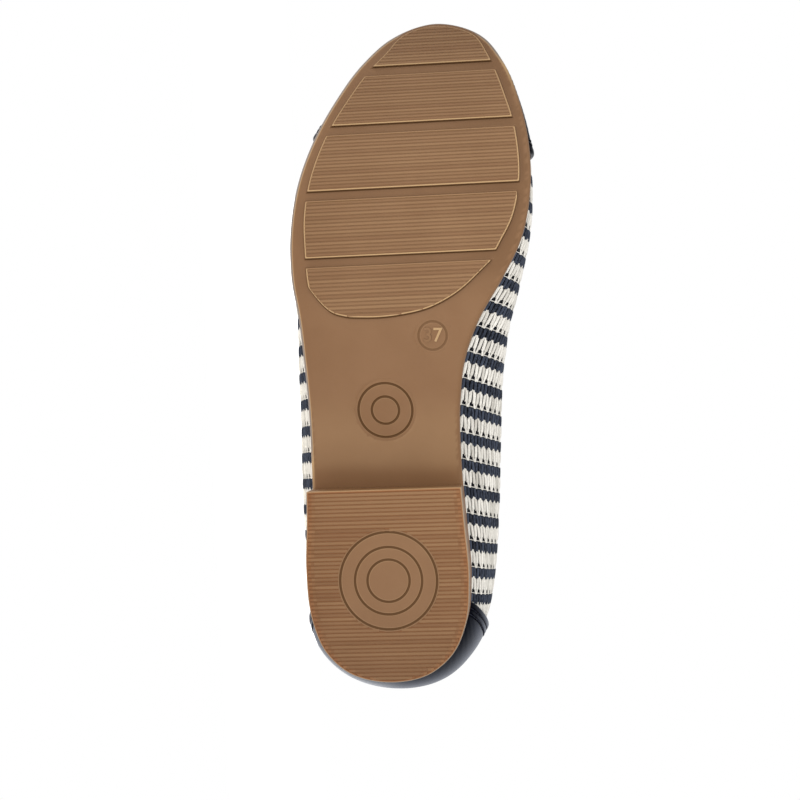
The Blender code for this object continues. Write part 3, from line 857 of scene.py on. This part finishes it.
def patch(slant, margin, low, high, rows=60, corner=0.4, pads=False):
    """Rows across a part of the sole that is this far inside its edge, or inside the rim of the pads, between
    two levels of the slanted frame: the level of each row, a function that gives where a row starts and ends,
    and the first and last level."""
    ways = np.linspace(0, 2, 1600, endpoint=False)
    distance = margin + (pad_rim(ways) if pads else 0.0)
    outer, inner = chains(slanted(sole_edge.inset(ways, distance), slant))
    low = max(low, outer[0, 0], inner[0, 0])
    high = min(high, outer[-1, 0], inner[-1, 0])
    end_curve = pads and low < TREAD_END[0][1]
    if end_curve:
        sides = np.linspace(TREAD_END[0][0], TREAD_END[-1][0], 300)
        curve = slanted(np.stack([read(TREAD_END, 1, sides) + margin, sides], axis=-1), slant)
        valley = curve[:, 0].argmin()
        low = max(low, curve[valley, 0])
    level = low + (high - low) * (1 - np.cos(math.pi * np.linspace(0, 1, rows))) / 2

    def span(at):
        start = np.interp(at, outer[:, 0], outer[:, 1])
        end = np.interp(at, inner[:, 0], inner[:, 1])
        if end_curve:
            start = np.maximum(start, np.interp(at, curve[valley::-1, 0], curve[valley::-1, 1]))
            end = np.minimum(end, np.interp(at, curve[valley:, 0], curve[valley:, 1]))
        nearest = np.minimum(at - low, high - at)
        cut = corner - np.sqrt(np.maximum(corner**2 - np.maximum(corner - nearest, 0) ** 2, 0))
        cut = np.minimum(cut, np.maximum(end - start, 0) * 0.48)
        return start + cut, np.maximum(end - cut, start + cut)

    return level, span, low, high


def rim_points(slant, margin, low, high, height, **shape):
    """One closed ring of a patch, in the shoe's frame: up its outer side and back down its inner side."""
    level, span, _, _ = patch(slant, margin, low, high, **shape)
    start, end = span(level)
    plan = np.vstack([np.column_stack([level, start]), np.column_stack([level, end])[::-1]])
    plan = slanted(plan, -slant)
    return np.column_stack([plan, height(plan[:, 0])])


def ring_stack(form, rings, slant, low, high, dim_front, **shape):
    """Skins a patch's rings one after another, and fills the first and the last. Their painted shade is
    darkest where they face the heel, and their painted highlight is weaker where they face the toe."""
    made = []
    for number, (margin, inset, height, marks) in enumerate(rings, 1):
        ring = rim_points(slant, margin, low + inset, high - inset, height, **shape)
        run = unit(np.roll(ring, -1, axis=0) - np.roll(ring, 1, axis=0))
        marks = np.tile(marks, (len(ring), 1))
        if number < len(rings):
            marks[:, 0] *= 0.3 + 0.7 * np.clip(-run[:, 1], 0, 1)
        marks[:, 1] *= 1 - dim_front * np.clip(run[:, 1], 0, 1)
        made.append(form.points(ring, marks))
    stack = np.array(made)
    form.skin(np.hstack([stack, stack[:, :1]]))
    for ring in (made[0], made[-1]):
        half = len(ring) // 2
        form.skin(np.column_stack([ring[:half], ring[half:][::-1]]))


def lay_ribs(name, slant, margin, low, high, pitch, level, clear=None, **shape):
    """One rib after another across a patch. Where a disc is given, the ribs are the heel's: they keep clear
    of it, carry painted shade, and are warmer in colour at their ends."""
    _, span, low, high = patch(slant, margin, low, high, **shape)
    count = max(int((high - low - RIB_SHARE * pitch) / pitch), 1)
    first = (low + high - count * pitch) / 2
    tip, beside, inside = HEEL_RIB_WARMTHS if clear else (0.0, 0.0, 0.0)
    deeper = HEEL_RIB_SHADE if clear else 0.0
    parts = []  # level, start, end, warmth
    for at in first + np.arange(count + 1) * pitch:
        start, end = (float(v) for v in span(at))
        runs = [(start, end)]
        if clear:
            centre, radius = slanted(np.array(clear[0]), slant), clear[1]
            if abs(at - centre[0]) < radius:
                half = math.sqrt(radius**2 - (at - centre[0]) ** 2)
                runs = [(start, centre[1] - half), (centre[1] + half, end)]
        if clear and runs[-1][1] - runs[0][0] > 6 * HEEL_RIB_END:  # a shorter rib keeps one colour
            edge, far_edge = runs[0][0], runs[-1][1]
            runs[0] = (edge + HEEL_RIB_END, runs[0][1])
            runs[-1] = (runs[-1][0], far_edge - HEEL_RIB_END)
            for start, end, *warmths in (
                (edge, edge + HEEL_RIB_END + RIB_OVERLAP, tip, beside),
                (far_edge - HEEL_RIB_END - RIB_OVERLAP, far_edge, beside, tip),
            ):
                middle = (start + end) / 2
                parts += [(at, start, middle, warmths[0]), (at, middle, end, warmths[1])]
        parts += [(at, start, end, inside) for start, end in runs if end - start > LEAST_RIB]
    parts = np.array(parts)
    places = []
    for side in (1, 2):
        plan = slanted(parts[:, [0, side]], -slant)
        places.append(np.column_stack([plan, level(plan[:, 0])]))
    middle = (places[0][:, 0] + places[1][:, 0]) / 2
    slope = level(middle + 0.5) - level(middle - 0.5)
    normals = unit(np.column_stack([slope, np.zeros(len(slope)), -np.ones(len(slope))]))
    random = np.random.default_rng(SEED + len(parts))
    dark, light = random.uniform(deeper, deeper + 0.08, len(parts)), random.uniform(0.0, 0.16, len(parts))
    points = spots(name, *places, normals, np.column_stack([dark, light, parts[:, 3]]))
    sizes = {"Width": RIB_SHARE * pitch, "Thickness": 2 * RIB_HEIGHT, "Arch": 0.0, "Taper": 0.0}
    lay(points, RIBS, **sizes, Steps=2, Sides=3, Finish=RUBBER)
    fit(points, "tan_rubber")


def engraved_disc(form, centre, radius, circles, level, groove=0.3, dark=0.72, proud=0.03):
    """A plain round plate with circles cut into it. Its rim sinks into the sole round it. Its circles carry
    painted shade in their grooves and painted highlights on their lips.
    """
    profile = [(0.0, 0.0, 0.0, 0.0)]  # radius, depth, darkness, lightness
    for circle in sorted(circles):
        for at, depth, darkness, lightness in CIRCLE_PROFILE:
            profile.append((circle + at * CIRCLE_WIDTH, groove * depth, dark * darkness, dark * lightness))
    slope = min(1.6, radius - max(circles) - CIRCLE_PROFILE[-1][0] * CIRCLE_WIDTH)
    for reach, depth in ((radius - slope, 0.0), (radius, 0.07), (radius, 1.4), (0.0, 1.4)):
        profile.append((reach, depth, 0.0, 0.0))
    angles = np.linspace(0, 2 * math.pi, 120, endpoint=False)
    rows, marks = [], []
    for reach, depth, darkness, lightness in profile:
        x = centre[0] + reach * np.cos(angles)
        y = centre[1] + reach * np.sin(angles)
        rows.append(np.column_stack([x, y, level(x) + depth - proud]))
        marks.append(np.tile((darkness, lightness, 0.0), (len(angles), 1)))
    form.grid(np.array(rows), np.array(marks), closed=True)


def filled(ring, columns):
    """Points across a closed ring, in columns from its outer side to its inner side."""
    half = len(ring) // 2
    inner, outer = ring[: half + 1], np.vstack([ring[:1], ring[half:][::-1]])
    t = np.linspace(0, 1, columns + 1)[None, :, None]
    return outer[:, None] * (1 - t) + inner[:, None] * t


def outsole_body():
    ways = np.linspace(0, 2, 640, endpoint=False)
    form = Form()
    rings, marks = [], []
    for inset, share in SOLE_SIDE:
        plan = sole_edge.inset(ways, inset)
        under, top = sole_under(plan[:, 0]), sole_top(plan[:, 0])
        rings.append(np.column_stack([plan, under + share * (top - under)]))
        # the edge's lighter grey is mould flash and painted highlight, only on the stretches where it catches
        # the light
        flash_and_highlight = [blend_step(plan[:, 0], *stations) for stations in (FLASH_AND_HIGHLIGHT_OUTER, FLASH_AND_HIGHLIGHT_INNER)]
        light = (inset < 1.0) * np.where(ways > 1.0, *flash_and_highlight)
        marks.append(np.column_stack([0.35 * light, light, 0 * light]))
    form.grid(np.array(rings), np.array(marks), closed=True)
    for grid, below in ((filled(rings[0], 64), True), (filled(rings[-1], 4), False)):
        station, side = grid[..., 0], grid[..., 1]
        if below:
            grid[..., 2] = sole_under(station)
            for centre, radius in WELLS:
                inside = np.hypot(station - centre[0], side - centre[1]) < radius
                grid[..., 2] += WELL_DEPTH * inside
        # Painted shade under the ball and the toes, most of all on the inner side, and painted light before
        # the heel, against the shade there.
        shade = 0.03 + 0.07 * blend_step(side, -40.0, -25.0) + 0.16 * blend_step(side, 15.0, 45.0)
        shade = blend_step(station, 135.0, 160.0) * shade
        painted_light = 0.14 * blend_step(station, 76.0, 83.0) * (1 - blend_step(station, 92.0, 112.0))
        form.grid(grid, np.stack([shade, painted_light, 0 * shade], axis=-1))
    engraved_disc(form, WAIST_DISC, WAIST_CIRCLES[0] + 2.4, WAIST_CIRCLES, sole_under)
    engraved_disc(form, SIZE_DISC, SIZE_CIRCLE + 2.2, (SIZE_CIRCLE,), sole_under, groove=0.2, dark=0.35)
    fit(form.make("outsole_body", RUBBER), "tan_rubber", "outsole")


def pad_limits():
    """The tread pads between the grooves, from the toe back, as levels of the slanted frame."""
    cuts = [g * math.cos(GROOVE_SLANT) for g in GROOVES]
    half = GROOVE_WIDTH / 2
    ends = [BEYOND] + [c - half for c in cuts]
    return zip([c + half for c in cuts] + [-BEYOND], ends)


def tread():
    """Five low plates on the forefoot, each with a thin raised rim and its ribs."""
    form = Form()
    top = PAD_HEIGHT - 0.04  # of the raised rim and the ribs

    def level(depth):
        return lambda x: sole_under(x) - depth

    for number, (low, high) in enumerate(pad_limits(), 1):
        # painted shade round the foot of each plate and painted highlight along its raised rim
        rings = (
            # inside the rim, inside the limits, level, and marks: darkened, lightened, warmed
            (0.0, 0.0, level(-0.6), (0.5, 0, 0)),
            (-0.7, -0.7, level(-0.05), (0.0, 0, 0)),
            (-0.6, -0.6, level(0.02), (0.15, 0, 0)),
            (-0.25, -0.25, level(0.03), (0.8, 0, 0)),
            (0.0, 0.0, level(0.08), (0.9, 0, 0)),
            (0.08, 0.08, level(PAD_HEIGHT - 0.25), (0.1, 0.1, 0)),
            (0.2, 0.2, level(top), (0.0, 0.8, 0)),
            (0.56, 0.56, level(top), (0.0, 0.78, 0)),
            (0.7, 0.7, level(PAD_HEIGHT - RIB_HEIGHT), (0.11, 0.0, 0)),
        )
        ring_stack(form, rings, GROOVE_SLANT, low, high, dim_front=0.75, pads=True)
        name, pitch = f"tread_ribs_{number}", TREAD_PITCHES[-number]
        lay_ribs(name, GROOVE_SLANT, 0.5, low + 0.5, high - 0.5, pitch, level(top - RIB_HEIGHT), pads=True)
    fit(form.make("tread_plates", RUBBER), "tan_rubber")


def heel_block():
    form = Form()
    breast = HEEL_BREAST * math.cos(BREAST_SLANT)

    def flat(height):
        return lambda x: np.full(np.shape(x), height)

    def under_sole(x):
        return np.maximum(sole_under(x) - GAP, 1.7)

    # painted shade where the heel meets the sole; its rounded rim is lighter grey, partly mould flash and
    # partly painted highlight
    rings = (
        # inside the edge, inside the breast, level, and marks: darkened, lightened, warmed
        (HEEL_TOP_INSET, 0.0, under_sole, (0.35, 0, 0)),
        (0.1, 0.0, flat(3.0), (0.0, 0, 0)),
        (0.0, 0.0, flat(1.4), (0.0, 0.6, 0)),
        (0.04, 0.04, flat(0.5), (0.0, 1.0, 0)),
        (0.15, 0.15, flat(0.15), (0.0, 1.0, 0)),
        (0.3, 0.3, flat(0.03), (0.0, 0.9, 0.0)),
        (0.45, 0.45, flat(0.0), (0.0, 0.0, 0.3)),
        (HEEL_BORDER - 0.2, HEEL_BORDER - 0.2, flat(0.0), (0.0, 0.0, 0.5)),
        (HEEL_BORDER, HEEL_BORDER, flat(RIB_HEIGHT), (0.2, 0.0, 0.35)),
    )
    ring_stack(form, rings, BREAST_SLANT, -BEYOND, breast, dim_front=0.5, rows=90)
    engraved_disc(form, HEEL_DISC, HEEL_CIRCLES[0] + 0.9, HEEL_CIRCLES, flat(0.0), groove=0.2, proud=0.02)
    fit(form.make("heel_block", RUBBER), "tan_rubber", "heel")
    lay_ribs(
        "heel_ribs",
        BREAST_SLANT,
        HEEL_BORDER - 0.15,
        -BEYOND,
        breast - HEEL_BORDER + 0.15,
        HEEL_PITCH,
        flat(RIB_HEIGHT),
        clear=(HEEL_DISC, HEEL_CIRCLES[0] + 0.8),
        rows=90,
    )


def size_mark():
    """The plain size, raised inside its ring."""
    text = bpy.data.curves.new("size_digits", "FONT")
    text.body = "37"
    text.size = 7.4
    text.align_x = "CENTER"
    text.align_y = "CENTER"
    text.extrude = 0.3
    text.bevel_depth = 0.06
    text.offset = 0.03
    holder = placed("size_holder", text)
    flat = bpy.data.meshes.new_from_object(holder.evaluated_get(bpy.context.evaluated_depsgraph_get()))
    places = np.array([vertex.co for vertex in flat.vertices])
    form = Form()
    x = SIZE_DISC[0] + places[:, 1]
    y = SIZE_DISC[1] + places[:, 0]
    light = np.where(places[:, 0] > 0, 0.7, 0.05)  # the second figure is lighter than the first
    marks = np.column_stack([0 * x, light, 0 * x])
    form.points(np.column_stack([x, y, sole_under(x) - places[:, 2]]), marks)
    form.faces = [tuple(face.vertices) for face in flat.polygons]
    bpy.data.objects.remove(holder)
    fit(form.make("size_digits", RUBBER), "tan_rubber")


# ---------------------------------------------------------------- insole, backing and lining
def insole():
    ways = np.linspace(0, 2, 360, endpoint=False)
    under = WALL + 2 * GAP
    form = Form()
    rings = []
    for inset, share in ((0.0, 0.0), (-0.02, 0.4), (0.0, 0.72), (0.15, 0.88), (0.45, 0.97), (0.9, 1.0)):
        plan = sole_edge.inset(ways, INSOLE_INSET + inset)
        rings.append(np.column_stack([plan, over_sole(plan[:, 0], under + share * INSOLE)]))
    form.grid(np.array(rings), closed=True)
    form.grid(filled(rings[0], 4))
    form.grid(filled(rings[-1], 24))
    fit(form.make("insole_cover", INSOLE_FINISH), "insole_leather", "insole")


def wall(name, outer, inner, finish):
    """A closed shell on the upper's form, between two lifts."""
    ways, shares = np.linspace(0, 2, 300, endpoint=False), crowded(60)
    form = Form()
    faces = [on_upper(ways[None, :], shares[:, None], lift) for lift in (outer, inner)]
    form.grid(np.concatenate([faces[0], faces[1][::-1], faces[0][:1]]), closed=True)
    return form.make(name, finish)


def backing_and_lining():
    backing = wall("yarn_backing", -0.62, -1.0, BACKING)
    lining = wall("lining", -1.05, -WALL, LINING)
    fit(backing, "striped_knit", "upper")
    fit(lining, "striped_knit")


# ---------------------------------------------------------------- the knit
def counter_line(shares, side):
    """The way at which the counter's front edge crosses each share of the upper's lines, on one side."""
    places = on_upper(TRACE_WAYS[None, :], np.asarray(shares)[:, None])
    over = places[..., 0] - read(COUNTER_EDGE, 1, places[..., 2])
    ways = []
    for row in over:
        peak = len(row) // 2
        if side > 0:
            ways.append(np.interp(0.0, row[: peak + 1], TRACE_WAYS[: peak + 1]))
        else:
            ways.append(np.interp(0.0, -row[peak:], TRACE_WAYS[peak:]) - 2)
    return np.array(ways)


def knit_rows():
    """Each stripe is its colour, and the levels of its heel end and its toe end."""
    at = FIRST_STRIPE
    while at < TOE_CAP_EDGE + 2 * STRIPE:
        yield "cream", at - STRIPE_SHIFT, at + CREAM + STRIPE_OVERLAP
        yield "navy", at + CREAM - STRIPE_OVERLAP, at + STRIPE - STRIPE_SHIFT
        at += STRIPE


def stripe_lines(low, high):
    """Pairs of lines, the heel end and toe end of a stripe: one pair over the vamp, or one on each side."""
    ends = crossing(TRACE_STRIPE, low), crossing(TRACE_STRIPE, high)
    if None in ends:
        return []
    if ends[0][2] or ends[1][2]:
        return [(across(TRACE_STRIPE, low), across(TRACE_STRIPE, high))]
    return [(ends[0][side], ends[1][side]) for side in (0, 1)]


def knit():
    """Each stitch has two legs. They leave the heel end close together, so that dark wedges open between the
    stitches there, and meet their neighbours' at the toe end. A fine thread runs across each row of cream."""
    random = np.random.default_rng(SEED)
    strands = {"cream": [], "navy": []}  # start, end, normal, thickness, marks
    for colour, low, high in knit_rows():
        for heel_line, toe_line in stripe_lines(low, high):
            length = (evenly(heel_line, 50)[1] + evenly(toe_line, 50)[1]) / 2
            count = max(int(round(length / WALE)), 2)
            fine = POINTS_PER_WALE * count + 1
            index = np.arange(fine)
            lines = [evenly(line, fine)[0] for line in (heel_line, toe_line)]
            places = [on_upper(line[:, 0], line[:, 1], YARN_LIFT) for line in lines]
            normals = upper_normals(lines[0][:, 0], lines[0][:, 1])

            def place(row, share, out):
                at = POINTS_PER_WALE * (row + 0.5 + out / WALE)
                ends = [np.array([np.interp(at, index, end[:, k]) for k in range(3)]) for end in places]
                return ends[0] + (ends[1] - ends[0]) * share

            for i in range(count):
                if not shows(place(i, 0.5, 0.0)):
                    continue
                normal = normals[POINTS_PER_WALE * i + POINTS_PER_WALE // 2]
                # the first and last navy wale of each row are lighter
                lighter_end_wale = colour == "navy" and i in (0, count - 1)
                for side in (-1, 1):
                    dark, light, sway = random.uniform(0, 1), random.uniform(0, 1), random.normal(0, 0.05)
                    light = min(0.7 * light**3 + 0.5 * lighter_end_wale, 1.0)
                    for start, out, end, end_out, thick in STRANDS_OF[colour]:
                        ends = place(i, start, side * out + sway), place(i, end, side * end_out + sway)
                        strands[colour].append((*ends, normal, thick, (0.5 * dark**2, light, 0.0)))
                if colour == "cream":
                    ends = place(i, 0.06, 0.0), place(i + 1, 0.06, 0.0)
                    strands[colour].append((*ends, normal, CROSS_THREAD / YARN_WIDTH, (0.2, 0.0, 0.0)))
    for colour, finish in (("cream", CREAM_YARN), ("navy", NAVY_YARN)):
        starts, ends, normals, thick, marks = (np.array(part) for part in zip(*strands[colour]))
        points = spots(f"{colour}_stitches", starts, ends, normals, marks, thick)
        sizes = {"Width": YARN_WIDTH, "Thickness": YARN_THICKNESS, "Arch": 0.2, "Taper": 0.35}
        lay(points, STRANDS, **sizes, Steps=STRAND_STEPS[colour], Sides=6, Finish=finish)
        fit(points, "striped_knit")


def shows(place):
    """Whether a stitch lies between the counter and the cap, or just under their edges."""
    behind_cap = cap_station(place) < TOE_CAP_EDGE + UNDER_LEATHER
    before_counter = place[0] > read(COUNTER_EDGE, 1, place[2]) - UNDER_LEATHER
    return behind_cap and before_counter


# ---------------------------------------------------------------- cap, counter and binding
def turned_edge(distance):
    """How high leather stands over what it covers, and how dark it is, by the distance from its turned edge:
    the edge rolls over a fold, and each row of stitches pulls a trough, painted darker as shade."""
    roll = np.sqrt(np.clip(1 - (1 - np.clip(distance / EDGE_ROLL, 0, 1)) ** 2, 0, 1))
    rise = (FACE_LIFT + FOLD_LIFT * (1 - blend_step(distance, *FOLD_END))) * roll
    dark = np.zeros(np.shape(distance))
    for row in SEAM_ROWS:
        trough = np.exp(-(((distance - row) / SEAM_TROUGH) ** 2))
        rise = rise - SEAM_DENT * trough
        # painted shade in the trough
        dark = dark + 0.9 * trough
    return rise, np.clip(dark, 0, 1)


def leather_shell(name, ways, shares, distance, node, painted_sheen):
    """A leather overlay on a grid of ways and shares, with its edge turned over at distance 0. It is pleated
    near the sole, with painted shade there, and has a painted lighter sheen higher up."""
    rise, dark = turned_edge(distance)
    low = on_upper(ways, shares, GAP)
    height = np.maximum(low[..., 2] - over_sole(low[..., 0], 0), 0)
    near_feather = np.exp(-((height / SHADE_REACH) ** 2))
    run = np.cumsum(np.linalg.norm(np.diff(low, axis=0), axis=2), axis=0)
    run = np.concatenate([np.zeros((1, low.shape[1])), run])
    wave = np.cos(2 * math.pi * run / PLEAT_PITCH + 0.8 * np.sin(run / 5.0)) * 0.5 + 0.5
    rise = rise - PLEATS * np.exp(-height / PLEAT_REACH) * wave * blend_step(distance, 0.5, 3.0)
    form = Form()
    # painted sheen higher up, and painted shade near the sole
    painted_light = painted_sheen * (1 - near_feather)
    marks = np.stack([np.clip(dark + SHADE * near_feather, 0, 1), painted_light, 0 * dark], axis=-1)
    outer = form.grid(on_upper(ways, shares, GAP + rise), marks)
    inner = form.grid(low)
    for edge in (np.s_[0], np.s_[-1], np.s_[:, 0], np.s_[:, -1]):
        form.skin(np.array([outer[edge], inner[edge]]))
    fit(form.make(name, LEATHER_FINISH, sharp=60.0), "navy_leather", node)


def feather_shares(ways, lift):
    """The share of each way's line at which an overlay of this lift clears the sole."""
    shares = np.linspace(0.12, 0.4, 60)
    places = on_upper(ways[:, None], shares[None, :], lift)
    over = places[..., 2] - over_sole(places[..., 0], 0.15)
    return np.array([np.interp(0.0, row, shares) for row in np.maximum.accumulate(over, axis=1)])


def heel_counter():
    """The counter's shell, from one turned front edge round the back to the other. Gives its seams."""
    shares = np.linspace(0, 1, 90) ** 0.9
    guess = np.linspace(-COUNTER_REACH, COUNTER_REACH, 60)
    clear = feather_shares(guess, GAP + LEATHER + 0.3)
    start = np.interp(0, guess, clear)
    levels = start + (1 - start) * shares
    columns, seams = [], []
    for side in (1, -1):
        line = counter_line(levels, side)
        speed = np.linalg.norm(on_upper(line, levels) - on_upper(line - side * 0.01, levels), axis=1) / 0.01
        columns.append(line[:, None] - side * EDGE_STEPS[None, :] / speed[:, None])
        seams += [np.column_stack([line - side * row / speed, levels]) for row in SEAM_ROWS]
    inner, outer = columns
    middle = np.linspace(0, 1, 120)[None, 1:-1]
    middle = outer[:, -1:] * (1 - middle) + inner[:, -1:] * middle
    ways = np.hstack([outer, middle, inner[:, ::-1]])
    steps = np.tile(EDGE_STEPS, (len(levels), 1))
    distance = np.hstack([steps, np.full(middle.shape, EDGE_FAR), steps[:, ::-1]])
    lowest = np.interp(ways, guess, clear)
    grid_shares = lowest + (1 - lowest) * shares[:, None]
    leather_shell("heel_counter_leather", ways.T, grid_shares.T, distance.T, "heel_counter", 0.75)
    return seams


def toe_cap():
    """The cap's shell, from its turned rear edge to the tip. Gives its seams."""
    depth = TRACE_CAP.max() - TOE_CAP_EDGE
    steps = np.concatenate([EDGE_STEPS, np.linspace(8.6, depth - 0.4, 40), [depth - 0.1]])
    lines = np.array([evenly(across(TRACE_CAP, TOE_CAP_EDGE + step), 161)[0] for step in steps])
    ways, shares = lines[..., 0], lines[..., 1]
    distance = np.tile(steps[:, None], (1, ways.shape[1]))
    leather_shell("toe_cap_leather", ways.T, shares.T, distance.T, "toe_cap", 0.3)
    return [across(TRACE_CAP, TOE_CAP_EDGE + row) for row in SEAM_ROWS]


def seam_stitches(name, seams, lift):
    """Short stitches end to end along lines of ways and shares."""
    stitches = []  # start, end, normal
    for seam in seams:
        line, length = evenly(seam, SEAM_POINTS)
        count = max(int(length / SEAM_STITCH), 2)
        for i in range(count):
            at = (np.array([i + 0.1, i + 0.9]) / count) * (SEAM_POINTS - 1)
            ways, shares = read_line(at, np.arange(SEAM_POINTS), line).T
            normal = upper_normals(ways[:1], shares[:1])[0]
            stitches.append((*on_upper(ways, shares, lift), normal))
    points = spots(name, *(np.array(part) for part in zip(*stitches)), (0.0, 0.0, 0.0))
    sizes = {"Width": SEAM_THREAD, "Thickness": SEAM_THREAD, "Arch": 0.15, "Taper": 0.5}
    lay(points, STRANDS, **sizes, Steps=4, Sides=6, Finish=THREAD)
    fit(points, "navy_leather")


def topline_binding():
    """Tape folded over the rim: a flap down the outside, a roll over the top and a flap down the lining.
    Gives its seam."""
    ways = np.linspace(0, 2, 420, endpoint=False)
    outer, inner = (on_upper(ways, 1.0, lift) for lift in (0.0, -WALL))
    run = np.roll(outer, -1, axis=0) - np.roll(outer, 1, axis=0)
    up = np.cross(outer - inner, run)
    up *= np.sign(up[:, 2:])
    up, out = unit(up), unit(outer - inner)
    centre = (outer + inner) / 2 + up * (BINDING_RADIUS + GAP - 0.1)
    wall_length = np.linalg.norm(on_upper(ways, 1.0) - on_upper(ways, 0.95), axis=1) / 0.05

    def flap(depth, *places):
        """Rows at a drop below the topline and a lift off the wall's face at this depth."""
        return [on_upper(ways, 1 - drop / wall_length, lift - depth) for drop, lift in places]

    rows = flap(0.0, (4.6, 0.15), (4.6, 0.5), (4.3, 0.62), (3.0, 0.66), (1.2, 0.7))
    for angle in np.radians(np.linspace(-10, 190, 15)):
        rows.append(centre + BINDING_RADIUS * (math.cos(angle) * out + math.sin(angle) * up))
    rows += flap(WALL, (1.2, -0.55), (3.0, -0.5), (4.3, -0.48), (4.6, -0.4), (4.6, -0.1))
    rows += flap(WALL / 2, (2.0, 0.0), (0.0, 0.0))
    rows.append(rows[0])
    form = Form()
    form.grid(np.array(rows), closed=True)
    fit(form.make("topline_tape", TAPE), "navy_binding", "topline_binding")
    closed = np.append(ways, 2.0)
    length = np.append(wall_length, wall_length[0])
    return [np.column_stack([closed, 1 - BINDING_SEAM / length])]


# ---------------------------------------------------------------- making it
outsole_body()
tread()
heel_block()
size_mark()
insole()
backing_and_lining()
knit()
leather_seams = heel_counter() + toe_cap()
binding_seams = topline_binding()
seam_stitches("leather_seams", leather_seams, GAP + LEATHER - 0.12)
seam_stitches("binding_seam", binding_seams, 0.7)

# ---------------------------------------------------------------- floor, light and camera
FRAME_WIDTH = 302.4  # mm across the picture, at the sole
CAMERA_DISTANCE = 600.0
CAMERA_TILT = math.radians(3.75)  # from square to the sole, to the inner side
CAMERA_FLOOR = 0.003  # the camera comes no nearer to the floor
AIM = (105.8, 3.4, 6.0)
LIGHT_PLACE = (-0.35, -0.75, 0.30)  # metres from the aim
FLOOR = 4  # metres each way
FLOOR_GLOW = 0.85

corners = [(-FLOOR, -FLOOR, 0), (FLOOR, -FLOOR, 0), (FLOOR, FLOOR, 0), (-FLOOR, FLOOR, 0)]
floor_data = bpy.data.meshes.new("floor")
floor_data.from_pydata(corners, [], [(0, 1, 2, 3)])
floor = placed("floor", floor_data)
floor_finish, floor_tree, floor_shader, floor_coords, _ = new_finish("pale_floor", 0.9)
speckle = add(floor_tree, "ShaderNodeTexNoise", {"Vector": floor_coords, "Scale": 30.0}).outputs[0]
floor_tree.links.new(mixed(floor_tree, speckle, "fbfbfb", "ffffff"), floor_shader.inputs["Base Color"])
floor_shader.inputs["Emission Color"].default_value = (1, 1, 1, 1)
floor_shader.inputs["Emission Strength"].default_value = FLOOR_GLOW
floor_data.materials.append(floor_finish)

world = bpy.data.worlds.new("studio")
bpy.context.scene.world = world
world.use_nodes = True
background = world.node_tree.nodes["Background"]
background.inputs["Color"].default_value = (1, 1, 1, 1)
background.inputs["Strength"].default_value = 1.0

aim = Vector(laid(np.array([AIM]))[0])
toeward = Vector(turned(np.array([[1.0, 0.0, 0.0]]))[0])
to_camera = Vector(turned(np.array([[0.0, math.sin(CAMERA_TILT), -math.cos(CAMERA_TILT)]]))[0])

light_data = bpy.data.lights.new("key_light", "AREA")
light_data.shape = "DISK"
light_data.size = 0.5
light_data.energy = 1.0
light = placed("key_light", light_data)
light.location = aim + Vector(LIGHT_PLACE)
light.rotation_euler = (aim - light.location).to_track_quat("-Z", "Y").to_euler()

camera_data = bpy.data.cameras.new("camera")
camera = placed("camera", camera_data)
place = aim + to_camera * CAMERA_DISTANCE * MM
place.z = max(place.z, CAMERA_FLOOR)
back = (place - aim).normalized()
right = toeward.cross(back).normalized()
above = back.cross(right)
camera.matrix_world = Matrix.Translation(place) @ Matrix((right, above, back)).transposed().to_4x4()
camera_data.sensor_width = 36.0
camera_data.lens = camera_data.sensor_width * CAMERA_DISTANCE / FRAME_WIDTH
camera_data.clip_start = 0.05
bpy.context.scene.camera = camera
bpy.context.scene.view_settings.view_transform = "Standard"
